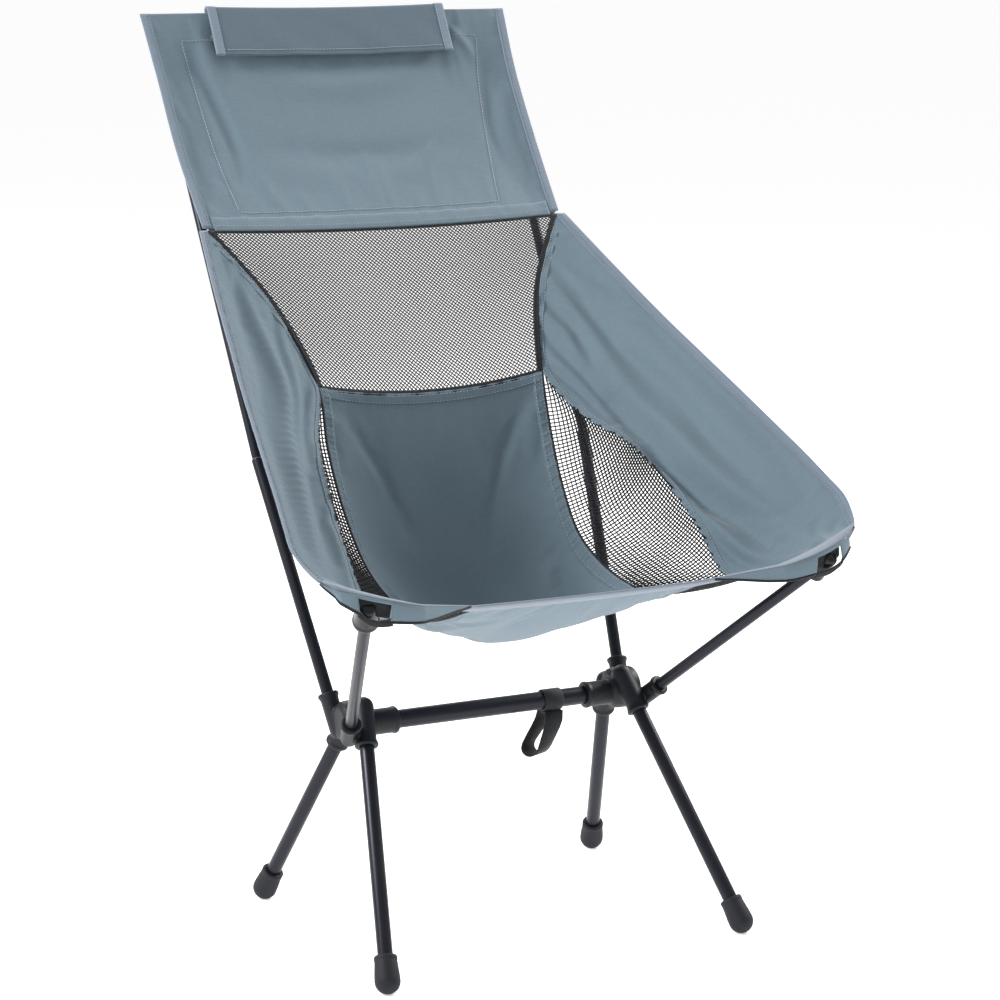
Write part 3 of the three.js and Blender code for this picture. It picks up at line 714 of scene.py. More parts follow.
# How far the middle of the wing and of the side net stand off the straight line across them.
BOW = [
    (0, 0, 0), (0, 0, -2), (0, 0, -4), (0, 0, -5), (0, 0, -6), (0, 0, -6),
    (0, 0, -6), (0, 0, -5), (0, -2, -3), (0, -8, 0), (0, -9, 0),
]
SLACK = [
    (0, 0, 0), (0, 0, 0), (0, 0, 0), (8, 3, -3), (14, 5, -5), (17, 6, -6),
    (17, 6, -6), (14, 4, -6), (8, 2, -4), (0, 0, 0), (0, 0, 0),
]
LAST = 10  # station of the front edge
MESH_FOOT = 2  # station where the back net ends and the seat panel begins
HEM_START = 9  # station where the front hem begins
TAPE = 10 * MM
HEAD_CENTRE = [(0, 433, 970), (0, 390, 901), (0, 330, 820), (0, 259.5, 735)]
HEAD_SIDE = [(230, 433, 970), (226, 392, 901), (225, 336, 820), (221, 268, 740)]


def line(key, station):
    return spline(in_frame(STATION_LINES[key]), np.asarray(station, float) / LAST)


def hung(centre, side, f):
    """Across a panel from its centre line (0) to its side line (1 or -1): it hangs like a chain."""
    f = np.asarray(f, float)[..., None]
    shape = centre + (side - centre) * f * f
    shape[..., :1] = side[..., :1] * f
    return shape


def middle(station, f):
    return hung(line("centre", station), line("seam", station), f)


def head(down, f):
    return hung(spline(in_frame(HEAD_CENTRE), down), spline(in_frame(HEAD_SIDE), down), f)


def bulged(inner, outer, stand_off, station, f):
    """From one long line to another, with the middle standing off the straight line."""
    f = np.asarray(f, float)[..., None]
    bulge = spline(np.array(stand_off, float) * MM, np.asarray(station, float) / LAST, even=True)
    return line(inner, station) * (1 - f) + line(outer, station) * f + bulge * 4 * f * (1 - f)


def side_net(station, f):
    return bulged("seam", "mesh", SLACK, station, f)


def wing(station, f):
    return bulged("mesh", "wing", BOW, station, f)


def thickened(made, thickness):
    body = made.modifiers.new("thickness", "SOLIDIFY")
    body.thickness, body.offset = thickness, 0
    return made


class Panel:
    """A piece of the sling: a grid of points, rows down it and columns across it."""

    def __init__(self, name, points):
        self.name = name
        self.points = points
        self.rest = self.points.copy()
        self.normals = grid_normals(self.points)

    def at(self, down, across, off=0.0):
        """Points at shares from 0 to 1 down and across the panel, raised along its normal."""
        rows, columns = self.points.shape[:2]
        down = np.clip(np.asarray(down, float), 0, 1) * (rows - 1)
        across = np.clip(np.asarray(across, float), 0, 1) * (columns - 1)
        i, j = np.minimum(down.astype(int), rows - 2), np.minimum(across.astype(int), columns - 2)
        a, b = (down - i)[..., None], (across - j)[..., None]

        def mix(values):
            upper = values[i, j] * (1 - b) + values[i, j + 1] * b
            lower = values[i + 1, j] * (1 - b) + values[i + 1, j + 1] * b
            return upper * (1 - a) + lower * a

        return mix(self.points) + unit(mix(self.normals)) * off

    def run(self, down, across):
        """A line over the panel, and the normals along it; down or across can be a single share."""
        down, across = np.broadcast_arrays(down, across)
        points = self.at(down, across)
        return points, unit(self.at(down, across, 0.001) - points)

    def push(self, height):
        """Moves the inside of the panel along its normals, and leaves its edges where they are."""
        rows, columns = self.points.shape[:2]
        i = np.minimum(np.arange(rows), np.arange(rows)[::-1])[:, None] / 4
        j = np.minimum(np.arange(columns), np.arange(columns)[::-1])[None] / 3
        ease = np.clip(i, 0, 1) * np.clip(j, 0.15, 1)
        self.points = self.points + self.normals * (height * ease)[..., None]

    def fold(self, path, height, width):
        """A ridge, or with a negative height a valley, along a path of (down, across) shares."""
        path = np.array(path, float)
        marks = np.linspace(0, 1, 48)
        track = spline(np.column_stack([path, np.zeros(len(path))]), marks, even=True)[:, :2]
        line_points = self.at(track[:, 0], track[:, 1])
        away = np.linalg.norm(self.points[:, :, None] - line_points[None, None], axis=-1)
        nearest = away.argmin(-1)
        strength = np.sin(math.pi * np.clip(0.1 + 0.8 * marks, 0, 1))
        self.push(height * strength[nearest] * np.exp(-((away.min(-1) / width) ** 2)))

    def refresh(self):
        self.normals = grid_normals(self.points)

    def uv(self):
        """Metres across and down the panel, at each point."""
        steps_across = np.linalg.norm(np.diff(self.rest, axis=1), axis=-1)
        across = np.concatenate([np.zeros((len(self.rest), 1)), np.cumsum(steps_across, 1)], 1)
        across -= across[:, -1:] / 2
        steps_down = np.linalg.norm(np.diff(self.rest, axis=0), axis=-1).mean(1)
        down = np.concatenate([[0], np.cumsum(steps_down)])
        return np.stack([across, np.broadcast_to(down[:, None], across.shape)], -1)

    def area(self):
        p = self.rest
        a, b, c, d = p[:-1, :-1], p[:-1, 1:], p[1:, 1:], p[1:, :-1]
        cross = np.linalg.norm(np.cross(c - a, b - d), axis=-1)
        return float(cross.sum() / 2)

    def size(self):
        """The width and length of the rectangle that the panel is cut from."""
        uv = self.uv()
        return float(np.ptp(uv[..., 0])), float(uv[-1, 0, 1])

    def surface(self, material):
        faces, corners = grid_faces(*self.points.shape[:2])
        uvs = self.uv()[corners[..., 0], corners[..., 1]].reshape(-1, 2)
        vertices = self.points.reshape(-1, 3)
        return shaped(self.name, vertices, faces.tolist(), uvs, material, closed=False, sharp=None)

    def sewn(self, material, thickness=0.0006):
        """The finished cloth: smoothed and given its thickness."""
        made = self.surface(material)
        ease = made.modifiers.new("smooth", "SUBSURF")
        ease.levels = ease.render_levels = 1
        ease.boundary_smooth = "PRESERVE_CORNERS"
        return thickened(made, thickness)


def panel_over(name, surface, rows, columns, sign=1):
    """A panel that covers a surface at the given rows and columns of its two shares."""
    down, across = np.meshgrid(rows, columns, indexing="ij")
    return Panel(name, on_side(surface(down, across), sign))


def declared(made, panel, replaces):
    """Puts a sling panel on the frame in place of its CAD nodes, and works out the size of the sheet it was
    cut from without keeping it.
    """
    placed(made, "root", replaces)
    width, length = panel.size()
    area = min(max(panel.area(), 0.31 * width * length), width * length)


# ---------- cloth simulation ----------
FRAMES = 16
FURTHEST = 0.007  # how far a point of cloth may move while it settles
CLOTH_SETTINGS = {
    "quality": 5, "mass": 0.03, "tension_stiffness": 60, "compression_stiffness": 60, "shear_stiffness": 20,
    "bending_stiffness": 0.6, "tension_damping": 10, "compression_damping": 10, "air_damping": 2,
    "shrink_min": -0.006,
}


def settle(panels):
    """Lets the panels relax under their own weight, held along their edges."""
    scene = bpy.context.scene
    running = []
    for panel in panels:
        made = panel.surface(CLOTH)
        rows, columns = panel.points.shape[:2]
        index = np.arange(rows * columns).reshape(rows, columns)
        edge = np.concatenate([index[0], index[-1], index[:, 0], index[:, -1]])
        pins = made.vertex_groups.new(name="edges")
        pins.add([int(i) for i in np.unique(edge)], 1.0, "REPLACE")
        cloth = made.modifiers.new("cloth", "CLOTH")
        for key, value in CLOTH_SETTINGS.items():
            setattr(cloth.settings, key, value)
        cloth.settings.vertex_group_mass = pins.name
        cloth.settings.effector_weights.gravity = 0.6
        cloth.collision_settings.use_collision = False
        cloth.collision_settings.use_self_collision = False
        cloth.point_cache.frame_start, cloth.point_cache.frame_end = 1, FRAMES
        running.append((panel, made))
    for step in range(1, FRAMES + 1):
        scene.frame_set(step)
    graph = bpy.context.evaluated_depsgraph_get()
    for panel, made in running:
        flat = np.empty(panel.points.size, np.float32)
        made.evaluated_get(graph).data.vertices.foreach_get("co", flat)
        moved = flat.reshape(panel.points.shape) - panel.points
        far = np.linalg.norm(moved, axis=-1, keepdims=True)
        panel.points = panel.points + moved * np.minimum(1, FURTHEST / np.maximum(far, 1e-9))
        panel.refresh()
        bpy.data.objects.remove(made)
    scene.frame_set(1)


CLOTH_EDGE = 0.985  # how far across the cloth reaches under a tape
CLOTH_FOOT = HEM_START + 0.1  # the station that the cloth reaches under the hem

head_panel = panel_over("head_cloth", head, np.linspace(0, 1, 64), np.linspace(-CLOTH_EDGE, CLOTH_EDGE, 88))
seat_panel = panel_over("seat_cloth", middle, np.linspace(MESH_FOOT, CLOTH_FOOT, 112), np.linspace(-1, 1, 58))
wings = {}
for side, sign in SIDES.items():
    rows, columns = np.linspace(0, CLOTH_FOOT, 150), np.linspace(0, CLOTH_EDGE, 30)
    wings[side] = panel_over(f"wing_cloth_{side}", wing, rows, columns, sign)

# Folds in the cloth: their paths as (down, across) shares of the panel, then height and width in metres.
# On the wings they run from the back net's edge down towards the front corner.
WING_FOLDS = {
    "right": [
        ([(0.07, 0.10), (0.12, 0.46), (0.23, 0.60), (0.36, 0.58)], -0.0040, 0.007),
        ([(0.09, 0.08), (0.14, 0.36), (0.21, 0.50), (0.33, 0.46)], 0.0040, 0.007),
        ([(0.12, 0.00), (0.15, 0.23), (0.19, 0.37), (0.30, 0.28)], -0.0060, 0.007),
        ([(0.14, 0.02), (0.18, 0.28), (0.24, 0.32), (0.34, 0.24)], 0.0044, 0.006),
        ([(0.16, 0.00), (0.21, 0.22), (0.29, 0.26), (0.42, 0.17)], -0.0064, 0.006),
        ([(0.18, 0.02), (0.23, 0.19), (0.31, 0.20)], 0.0036, 0.005),
        ([(0.20, 0.00), (0.26, 0.14), (0.37, 0.12)], -0.0050, 0.005),
        ([(0.32, 0.28), (0.44, 0.20), (0.55, 0.15), (0.69, 0.20), (0.82, 0.36), (0.95, 0.50)], -0.015, 0.011),
        ([(0.24, 0.46), (0.36, 0.42), (0.55, 0.38), (0.72, 0.46), (0.86, 0.62)], 0.0100, 0.012),
        ([(0.62, 0.04), (0.72, 0.10), (0.84, 0.24), (0.93, 0.38)], 0.0050, 0.007),
        ([(0.09, 0.74), (0.27, 0.80), (0.52, 0.72), (0.80, 0.74)], 0.0070, 0.020),
        ([(0.20, 0.62), (0.34, 0.66), (0.50, 0.56), (0.66, 0.60)], -0.0050, 0.010),
        ([(0.80, 0.08), (0.86, 0.16), (0.93, 0.26)], -0.0060, 0.006),
        ([(0.86, 0.06), (0.91, 0.16), (0.96, 0.30)], -0.0050, 0.006),
        ([(0.97, 0.50), (0.92, 0.66), (0.88, 0.80)], -0.0034, 0.005),
        ([(0.98, 0.66), (0.94, 0.78), (0.92, 0.92)], -0.0030, 0.004),
    ],
    "left": [
        ([(0.05, 0.17), (0.15, 0.42), (0.35, 0.40), (0.66, 0.45), (0.90, 0.50)], -0.0095, 0.011),
        ([(0.10, 0.56), (0.24, 0.62), (0.47, 0.58), (0.80, 0.62)], 0.0080, 0.012),
        ([(0.12, 0.00), (0.18, 0.24), (0.30, 0.26), (0.44, 0.20)], -0.0056, 0.006),
        ([(0.19, 0.00), (0.26, 0.12), (0.40, 0.12)], -0.0050, 0.005),
        ([(0.21, 0.20), (0.34, 0.14), (0.57, 0.20), (0.77, 0.22)], 0.0060, 0.008),
        ([(0.60, 0.06), (0.76, 0.12), (0.92, 0.26)], -0.0064, 0.007),
        ([(0.10, 0.80), (0.34, 0.86), (0.60, 0.82), (0.84, 0.80)], -0.0044, 0.008),
        ([(0.82, 0.30), (0.90, 0.44), (0.97, 0.56)], 0.0044, 0.008),
        ([(0.98, 0.66), (0.94, 0.78), (0.92, 0.92)], -0.0030, 0.004),
    ],
}
SEAT_FOLDS = [
    ([(0.42, 0.90), (0.62, 0.86), (0.84, 0.88)], -0.0050, 0.009),
    ([(0.46, 0.10), (0.66, 0.14), (0.86, 0.11)], -0.0050, 0.009),
    ([(0.05, 0.10), (0.16, 0.24), (0.30, 0.34)], -0.0034, 0.009),
    ([(0.05, 0.92), (0.16, 0.78), (0.32, 0.66)], -0.0034, 0.009),
    ([(0.50, 0.30), (0.70, 0.34), (0.92, 0.28)], 0.0034, 0.016),
    ([(0.50, 0.66), (0.70, 0.62), (0.92, 0.70)], 0.0034, 0.016),
]
HEAD_FOLDS = [
    ([(0.18, 0.08), (0.40, 0.13), (0.66, 0.155), (0.94, 0.13)], -0.0056, 0.012),
    ([(0.10, 0.14), (0.18, 0.22), (0.28, 0.30)], -0.0026, 0.007),
    ([(0.06, 0.86), (0.14, 0.81), (0.26, 0.70)], -0.0034, 0.007),
    ([(0.05, 0.82), (0.14, 0.86), (0.24, 0.90)], 0.0026, 0.006),
    ([(0.24, 0.95), (0.44, 0.91), (0.64, 0.90), (0.94, 0.94)], -0.0044, 0.011),
    ([(0.34, 0.28), (0.38, 0.50), (0.33, 0.74)], 0.0024, 0.018),
    ([(0.66, 0.26), (0.70, 0.50), (0.66, 0.78)], -0.0024, 0.016),
]


def folded(panel, folds, depth=1.0):
    for path, height, width in folds:
        panel.fold(path, height * depth, width)
    panel.refresh()


folded(head_panel, HEAD_FOLDS, 1.3)
folded(seat_panel, SEAT_FOLDS, 1.5)
for side in SIDES:
    folded(wings[side], WING_FOLDS[side])
settle([head_panel, seat_panel, wings["right"], wings["left"]])


# ---------- tapes, hems and stitches ----------
TUCK_PITCH = 6.5 * MM  # between the small gathers that the sewing thread pulls into a hem


def ribbon(name, inner, outer, normals, thickness, material, pucker=0.0, seed=1, bead=0.0, ladder=0.0):
    """A flat tape between two edge lines, half its thickness on each side of the cloth it holds."""
    count = len(inner)
    shares = np.array([0.0, 0.05, 0.3, 0.6, 0.93, 1.0])
    lift = np.array([0.35, 1.0, 1.05, 1.05, 1.0 + bead, 0.45 + bead])
    rng = np.random.default_rng(seed)
    marks = np.arange(count)
    waves = sum(
        rng.uniform(0.4, 1.0) * np.sin(marks * rng.uniform(0.25, 1.1) + rng.uniform(0, 6.3)) for _ in range(5)
    )
    tucks = ladder * np.sin(arc_length(inner) * 2 * math.pi / TUCK_PITCH)
    ripple = (pucker * waves / 2.2)[:, None, None] + tucks[:, None, None] * np.sin(math.pi * shares)[:, None]
    flat = inner[:, None] * (1 - shares[None, :, None]) + outer[:, None] * shares[None, :, None]
    half = (thickness / 2 * lift)[None, :, None]
    up = normals[:, None]
    top = flat + up * (half + ripple)
    bottom = flat + up * (ripple - half)
    rings = np.concatenate([top, bottom[:, ::-1]], 1)
    width = float(np.linalg.norm(outer - inner, axis=1).mean())
    across = np.concatenate([shares * width, (2 - shares[::-1]) * width])
    return swept(name, rings, across, material)


STITCH_PITCH = 0.0042
STITCH_RADIUS = 0.42 * MM
STITCH_TAPER = (0.45, 1.0, 1.0, 0.45)


def stitch_row(points, normals, length=0.0031):
    """Paths and normals of the single stitches along a line."""
    lengths = arc_length(points)
    starts = np.arange(STITCH_PITCH / 2, lengths[-1] - length, STITCH_PITCH)
    marks = starts[:, None] + np.linspace(0, length, 4)
    dip = np.array([-0.35, 1.0, 1.0, -0.35]) * 0.00025
    paths, ups = [], []
    for row in marks:
        place = np.stack([np.interp(row, lengths, points[:, k]) for k in range(3)], -1)
        up = unit(np.stack([np.interp(row, lengths, normals[:, k]) for k in range(3)], -1))
        paths.append(place + up * (0.0009 + dip)[:, None])
        ups.append(up)
    return paths, ups


def stitched(name, lines, material):
    """Sewn stitches along several (points, normals) lines, on both faces of the cloth."""
    paths, ups = [], []
    for points, normals in lines:
        for face in (1, -1):
            some_paths, some_ups = stitch_row(points, normals * face, STITCH_PITCH * 0.74)
            paths += some_paths
            ups += some_ups
    made = joined_tubes(name, paths, ups, STITCH_RADIUS, 5, material, STITCH_TAPER)
    return placed(made)


def edge_lines(surface, marks, f_edge, width, sign):
    """The outer edge of a panel, the line a tape's width inside it, and the normals there."""
    edge = surface(marks, np.full(len(marks), f_edge))
    inside = surface(marks, np.full(len(marks), f_edge - 0.02))
    inward = unit(inside - edge)
    along = np.gradient(edge, axis=0)
    normal = unit(np.cross(along, inward))
    return [on_side(p, sign) for p in (edge, edge + inward * width, normal)]


head_marks = np.linspace(0, 0.995, 90)
wing_marks = np.linspace(0.0, HEM_START + 0.05, 260)
tape_marks = np.linspace(0.0, MESH_FOOT, 90)


def side_tape(name, edge, inner, normal, thickness, material, seed):
    """A folded tape around an edge: it reaches a little past the edge and closes over it."""
    outward = unit(edge - inner)
    outer = edge + outward * thickness * 0.4
    return ribbon(name, inner, outer, normal, thickness, material, 0.00012, seed, bead=0.25)


def make_wing(side, sign):
    panel = wings[side]
    edge, inner, normal = edge_lines(wing, wing_marks, 1.0, TAPE, sign)
    tape = side_tape(f"wing_edge_tape_{side}", edge, inner, normal, 0.0019, BINDING, 11 + sign)
    placed(tape, "root", [f"wing_binding_{side}"])
    hems = [(inner + unit(edge - inner) * inset, normal) for inset in (0.0016, 0.0042)]
    rows = stitched(f"wing_edge_stitches_{side}", hems, TAPE_THREAD)
    downs = np.linspace(0.02, 0.985, 260)
    start, up = panel.run(downs, 0.0)
    towards = unit(panel.run(downs, 0.06)[0] - start)
    name = f"wing_seam_band_{side}"
    folded_in = start + towards * 9 * MM
    band = ribbon(name, folded_in, start, up, 0.0016, HEM_CLOTH, 0.0002, 15 + sign, ladder=0.00035)
    placed(band)
    lines = [(start + towards * w, up) for w in (1.5 * MM, 7.8 * MM)]
    seam = stitched(f"wing_seam_stitches_{side}", lines, THREAD)
    cloth = panel.sewn(CLOTH)
    declared(cloth, panel, [f"wing_{side}"])


# Corners of the patch that is stitched to the back of the head panel, as (down, across).
HEAD_PATCH = [(0.14, 0.085), (0.925, 0.105), (0.925, 0.845), (0.14, 0.92)]


def make_head():
    panel = head_panel
    for side, sign in SIDES.items():
        edge, inner, normal = edge_lines(head, head_marks, 1.0, TAPE, sign)
        tape = side_tape(f"head_edge_tape_{side}", edge, inner, normal, 0.0018, BINDING, 21 + sign)
        placed(tape, "root", [f"head_binding_{side}"])
        first = inner + unit(edge - inner) * 0.0018
        stitched(f"head_edge_stitches_{side}", [(first, normal)], TAPE_THREAD)
    wide = np.linspace(0.02, 0.98, 120)
    rows = [panel.run(down, wide) for down in (0.95, 0.988)]
    for start, end in zip(HEAD_PATCH, HEAD_PATCH[1:] + HEAD_PATCH[:1]):
        run = np.linspace(start, end, 60)
        rows.append(panel.run(run[:, 0], run[:, 1]))
    hem_top, hem_foot = panel.run(0.945, wide)[0], panel.run(1.0, wide)[0]
    up = panel.run(0.97, wide)[1]
    hem_foot = hem_foot + unit(hem_foot - hem_top) * 3 * MM
    hem = ribbon("head_foot_hem", hem_top, hem_foot, up, 0.0024, HEM_CLOTH, 0.00012, 31, ladder=0.0002)
    placed(hem)
    stitched("head_foot_stitches", rows, THREAD)
    cloth = panel.sewn(CLOTH)
    declared(cloth, panel, ["head_panel"])


def make_seat():
    panel = seat_panel
    wide = np.linspace(0.0, 1.0, 100)
    top, normal = panel.run(0.0, wide)
    below = panel.run(0.022, wide)[0]
    hem = ribbon("seat_top_hem", below, top, normal, 0.0022, HEM_CLOTH, 0.00010, 41, ladder=0.0002)
    placed(hem)
    lines = [panel.run(0.006, wide), panel.run(0.019, wide)]
    downs = np.linspace(0.0, 0.985, 230)
    for side, sign in SIDES.items():
        far = 0.5 + sign * 0.5
        near = far - sign * 0.045
        outer, up = panel.run(downs, far)
        inner = panel.run(downs, near)[0]
        name = f"seat_side_hem_{side}"
        band = ribbon(name, inner, outer, up, 0.0017, HEM_CLOTH, 0.0004, 43 + sign, ladder=0.0006)
        placed(band)
        lines += [panel.run(downs, far - sign * inset) for inset in (0.008, 0.036)]
        run = on_side(line("seam", np.linspace(MESH_FOOT, HEM_START, 160)), sign)
        ups = [unit(np.cross(np.gradient(run, axis=0), (1, 0, 0)))]
        piping = joined_tubes(f"seat_piping_{side}", [run], ups, 1.4 * MM, 10, BLACK_BINDING)
        placed(piping)
    stitched("seat_stitches", lines, THREAD)
    cloth = panel.sewn(CLOTH)
    declared(cloth, panel, ["seat_panel"])


for side, sign in SIDES.items():
    make_wing(side, sign)
make_head()
make_seat()


# ---------- nets ----------
NET_TAPE = 6.5 * MM
TUCK = 3 * MM  # how far the side net reaches under the wing's seam
BACK_NET = {"pitch": 3.4 * MM, "thread": 0.68 * MM}
SIDE_NET = {"pitch": 4.4 * MM, "thread": 0.86 * MM}
HALF_WIDTH = 0.225  # of the back net at its widest
SIDE_REACH = 0.16  # more than the side net's width
SIDE_STATIONS = (MESH_FOOT + 0.05, HEM_START + 0.1)


def runs(keep):
    """Stretches of True in a row of flags, as (first, last) pairs."""
    marks = np.flatnonzero(np.diff(np.concatenate([[0], keep.astype(int), [0]])))
    return [(a, b) for a, b in zip(marks[::2], marks[1::2]) if b - a >= 3]


class Net:
    """Threads over a surface that is laid out flat: u metres across and v metres down."""

    def __init__(self, surface, first, last, width_at, radius):
        self.radius = radius
        self.stations = np.linspace(first, last, 200)
        self.length = arc_length(surface(self.stations, np.zeros(200)))
        self.surface, self.width_at = surface, width_at

    def thread(self, u, v, low, high, phase):
        """The stretches of one thread that lie between the shares low and high of the net's width."""
        station = np.interp(v, self.length, self.stations)
        width = self.width_at(station)
        f = u / np.maximum(width, 1e-6)
        inside = (v >= 0) & (v <= self.length[-1])
        inside &= (f >= low) & (u <= high * width + TUCK)
        made = []
        for a, b in runs(inside):
            points = self.surface(station[a:b], f[a:b])
            ahead = self.surface(station[a:b], f[a:b] + 0.01) - points
            down = self.surface(station[a:b] + 0.01, f[a:b]) - points
            normal = unit(np.cross(down, ahead))
            weave = np.where((np.arange(a, b) + phase) % 2 == 0, 1.0, -1.0)
            made.append((points + normal * (weave * self.radius * 0.4)[:, None], normal))
        return made


def seam_width(station):
    return line("seam", station)[..., 0]


def side_width(station):
    return np.linalg.norm(line("mesh", station) - line("seam", station), axis=-1)


def back_net():
    """A net on the bias, so that its threads run at 45 degrees to the seams."""
    net = Net(middle, 0.0, MESH_FOOT, seam_width, BACK_NET["thread"])
    threads = []
    span = HALF_WIDTH + net.length[-1]
    pitch = BACK_NET["pitch"]
    count = int(span * math.sqrt(2) / pitch)
    step = pitch / math.sqrt(2)
    for slant in (1, -1):
        for k in range(-count, count):
            offset = k * pitch * math.sqrt(2)
            v = np.arange(0, net.length[-1], step)
            u = slant * v + offset
            threads += net.thread(u, v, -0.995, 0.995, k + (slant < 0))
    paths, normals = zip(*threads)
    return joined_tubes("back_net", paths, normals, BACK_NET["thread"], 4, NET)


def side_nets(side, sign):
    """A square net: threads along the seam and threads straight across."""
    net = Net(side_net, *SIDE_STATIONS, side_width, SIDE_NET["thread"])
    pitch = SIDE_NET["pitch"]
    threads = []
    rows = np.arange(0, net.length[-1], pitch)
    for k, v in enumerate(rows):
        u = np.arange(0, SIDE_REACH, pitch)
        threads += net.thread(u, np.full(len(u), v), 0.0, 1.0, k)
    for k, u in enumerate(np.arange(pitch, SIDE_REACH, pitch)):
        threads += net.thread(np.full(len(rows), u), rows, 0.0, 1.0, k)
    paths, normals = zip(*threads)
    paths, normals = [on_side(p, sign) for p in paths], [on_side(n, sign) for n in normals]
    return joined_tubes(f"side_net_{side}", paths, normals, SIDE_NET["thread"], 4, NET)


def make_nets():
    panel = panel_over("back_net_cut", middle, np.linspace(0, MESH_FOOT, 40), np.linspace(-1, 1, 40))
    declared(back_net(), panel, ["back_mesh"])
    across = np.linspace(-0.99, 0.99, 120)
    for name, lower, upper, seed in (
        ("net_top_binding", 0.03, 0.0, 55),
        ("net_foot_binding", MESH_FOOT, MESH_FOOT - 0.03, 56),
    ):
        foot_line, top_line = middle(np.full(120, lower), across), middle(np.full(120, upper), across)
        up = unit(np.cross(np.gradient(top_line, axis=0), top_line - foot_line))
        rise = unit(top_line - foot_line) * 3 * MM
        foot_line = foot_line - (rise if lower == MESH_FOOT else 0)
        top_line = top_line + (rise if upper == 0 else 0)
        placed(ribbon(name, foot_line, top_line, up, 0.0013, BLACK_BINDING, 0.0001, seed))
    for side, sign in SIDES.items():
        stations = np.linspace(*SIDE_STATIONS, 60)
        panel = panel_over(f"side_net_cut_{side}", side_net, stations, np.linspace(0, 1, 16), sign)
        net = side_nets(side, sign)
        declared(net, panel, [f"side_mesh_{side}"])
        edge, inner, normal = edge_lines(middle, tape_marks, 1.0, NET_TAPE, sign)
        tape = side_tape(f"net_edge_tape_{side}", edge, inner, normal, 0.0018, BLACK_BINDING, 51 + sign)
        placed(tape, "root", [f"mesh_tape_{side}"])
        rows = [(inner + unit(edge - inner) * w, normal) for w in (1.2 * MM, NET_TAPE - 1.2 * MM)]
        stitched(f"net_edge_stitches_{side}", rows, BLACK_THREAD)


make_nets()


# ---------- front hem and gussets ----------
def across_all(station, f):
    """The whole width of one station: 0 on the centre line, 3 at the outer edge."""
    f = np.asarray(f, float)
    station = np.asarray(station, float) + 0 * f
    sign = np.sign(f)
    f = np.abs(f)
    seat, net, side = (
        surface(station, np.clip(f - first, 0, 1)) for first, surface in enumerate((middle, side_net, wing))
    )
    chosen = np.where((f <= 1)[..., None], seat, np.where((f <= 2)[..., None], net, side))
    return chosen * np.stack([np.where(sign < 0, -1, 1), np.ones_like(f), np.ones_like(f)], -1)


def front_hem():
    marks = np.linspace(-3, 3, 420)
    back = across_all(np.full(420, HEM_START - 0.12), marks)
    front = across_all(np.full(420, LAST), marks)
    along = np.gradient(front, axis=0)
    normal = unit(np.cross(along, back - front))
    shares = np.linspace(0, 2 * math.pi, 15)[:-1]
    centre, half = (back + front) / 2, (front - back) / 2
    swell = 0.0024
    rings = (
        centre[:, None]
        + np.cos(shares)[None, :, None] * half[:, None]
        + np.sin(shares)[None, :, None] * normal[:, None] * swell
    )
    return swept("front_edge_hem", rings, shares * 0.004, FRONT_BINDING)


placed(front_hem(), "root", ["front_hem"])

# The gusset hangs below the front edge, passes in front of the corner cup and ends on the wing's
# outer edge. Rows in millimetres: how far out along the edge, how deep it hangs, how far forward.
GUSSET = [
    (140, 0.5, 0.6), (160, 5, 0.6), (190, 13, 0.4), (215, 18, -1), (240, 21, -1.4), (250, 21, 0.6),
    (262, 21, 3.4), (272, 19, 6.0), (280, 16, 5.6), (290, 12, 3),
]
GUSSET_WINDOW = (241, 274)  # how far out its opening over the cup starts and ends
GUSSET_ROWS = 7


def gusset_lines():
    """The gusset's top and bottom edge, from the seat's belly out to the wing's edge."""
    edge = across_all(np.full(600, LAST), np.linspace(0.5, 3, 600))
    xs = np.arange(GUSSET[0][0], GUSSET[-1][0] + 1, 2.0)
    table = np.array(GUSSET, float)
    depth, forward = (np.interp(xs, table[:, 0], table[:, k]) for k in (1, 2))
    top = np.stack([xs * MM, *(np.interp(xs * MM, edge[:, 0], edge[:, k]) for k in (1, 2))], -1)
    bottom = top - np.stack([0 * xs, forward * MM, depth * MM], -1)
    top = top - (0, 0.3 * MM, 0.3 * MM)
    outer = wing(np.linspace(LAST - 0.1, HEM_START + 0.1, 8), np.ones(8)) + (0, -0.0002, 0)
    fall = np.linspace(GUSSET[-1][1] - 1.5, 1.0, 8) * MM
    drop = fall[:, None] * (0.35, -0.3, 0.9)
    return np.vstack([top, outer]), np.vstack([bottom, outer - drop])


def cut_window(made, top, bottom):
    """Takes out the gusset's faces in front of the corner cup."""
    low, high = (edge * MM for edge in GUSSET_WINDOW)
    with edited(made.data) as work:
        gone = []
        for face in work.faces:
            centre = face.calc_center_median()
            nearest = np.abs(top[:, 0] - centre.x).argmin()
            height = max(top[nearest, 2] - bottom[nearest, 2], 1e-6)
            depth = (top[nearest, 2] - centre.z) / height
            if low < abs(centre.x) < high and depth > 0.15:
                gone.append(face)
        bmesh.ops.delete(work, geom=gone, context="FACES")


def facing_front(points):
    return np.tile((0, -1.0, 0), (len(points), 1))


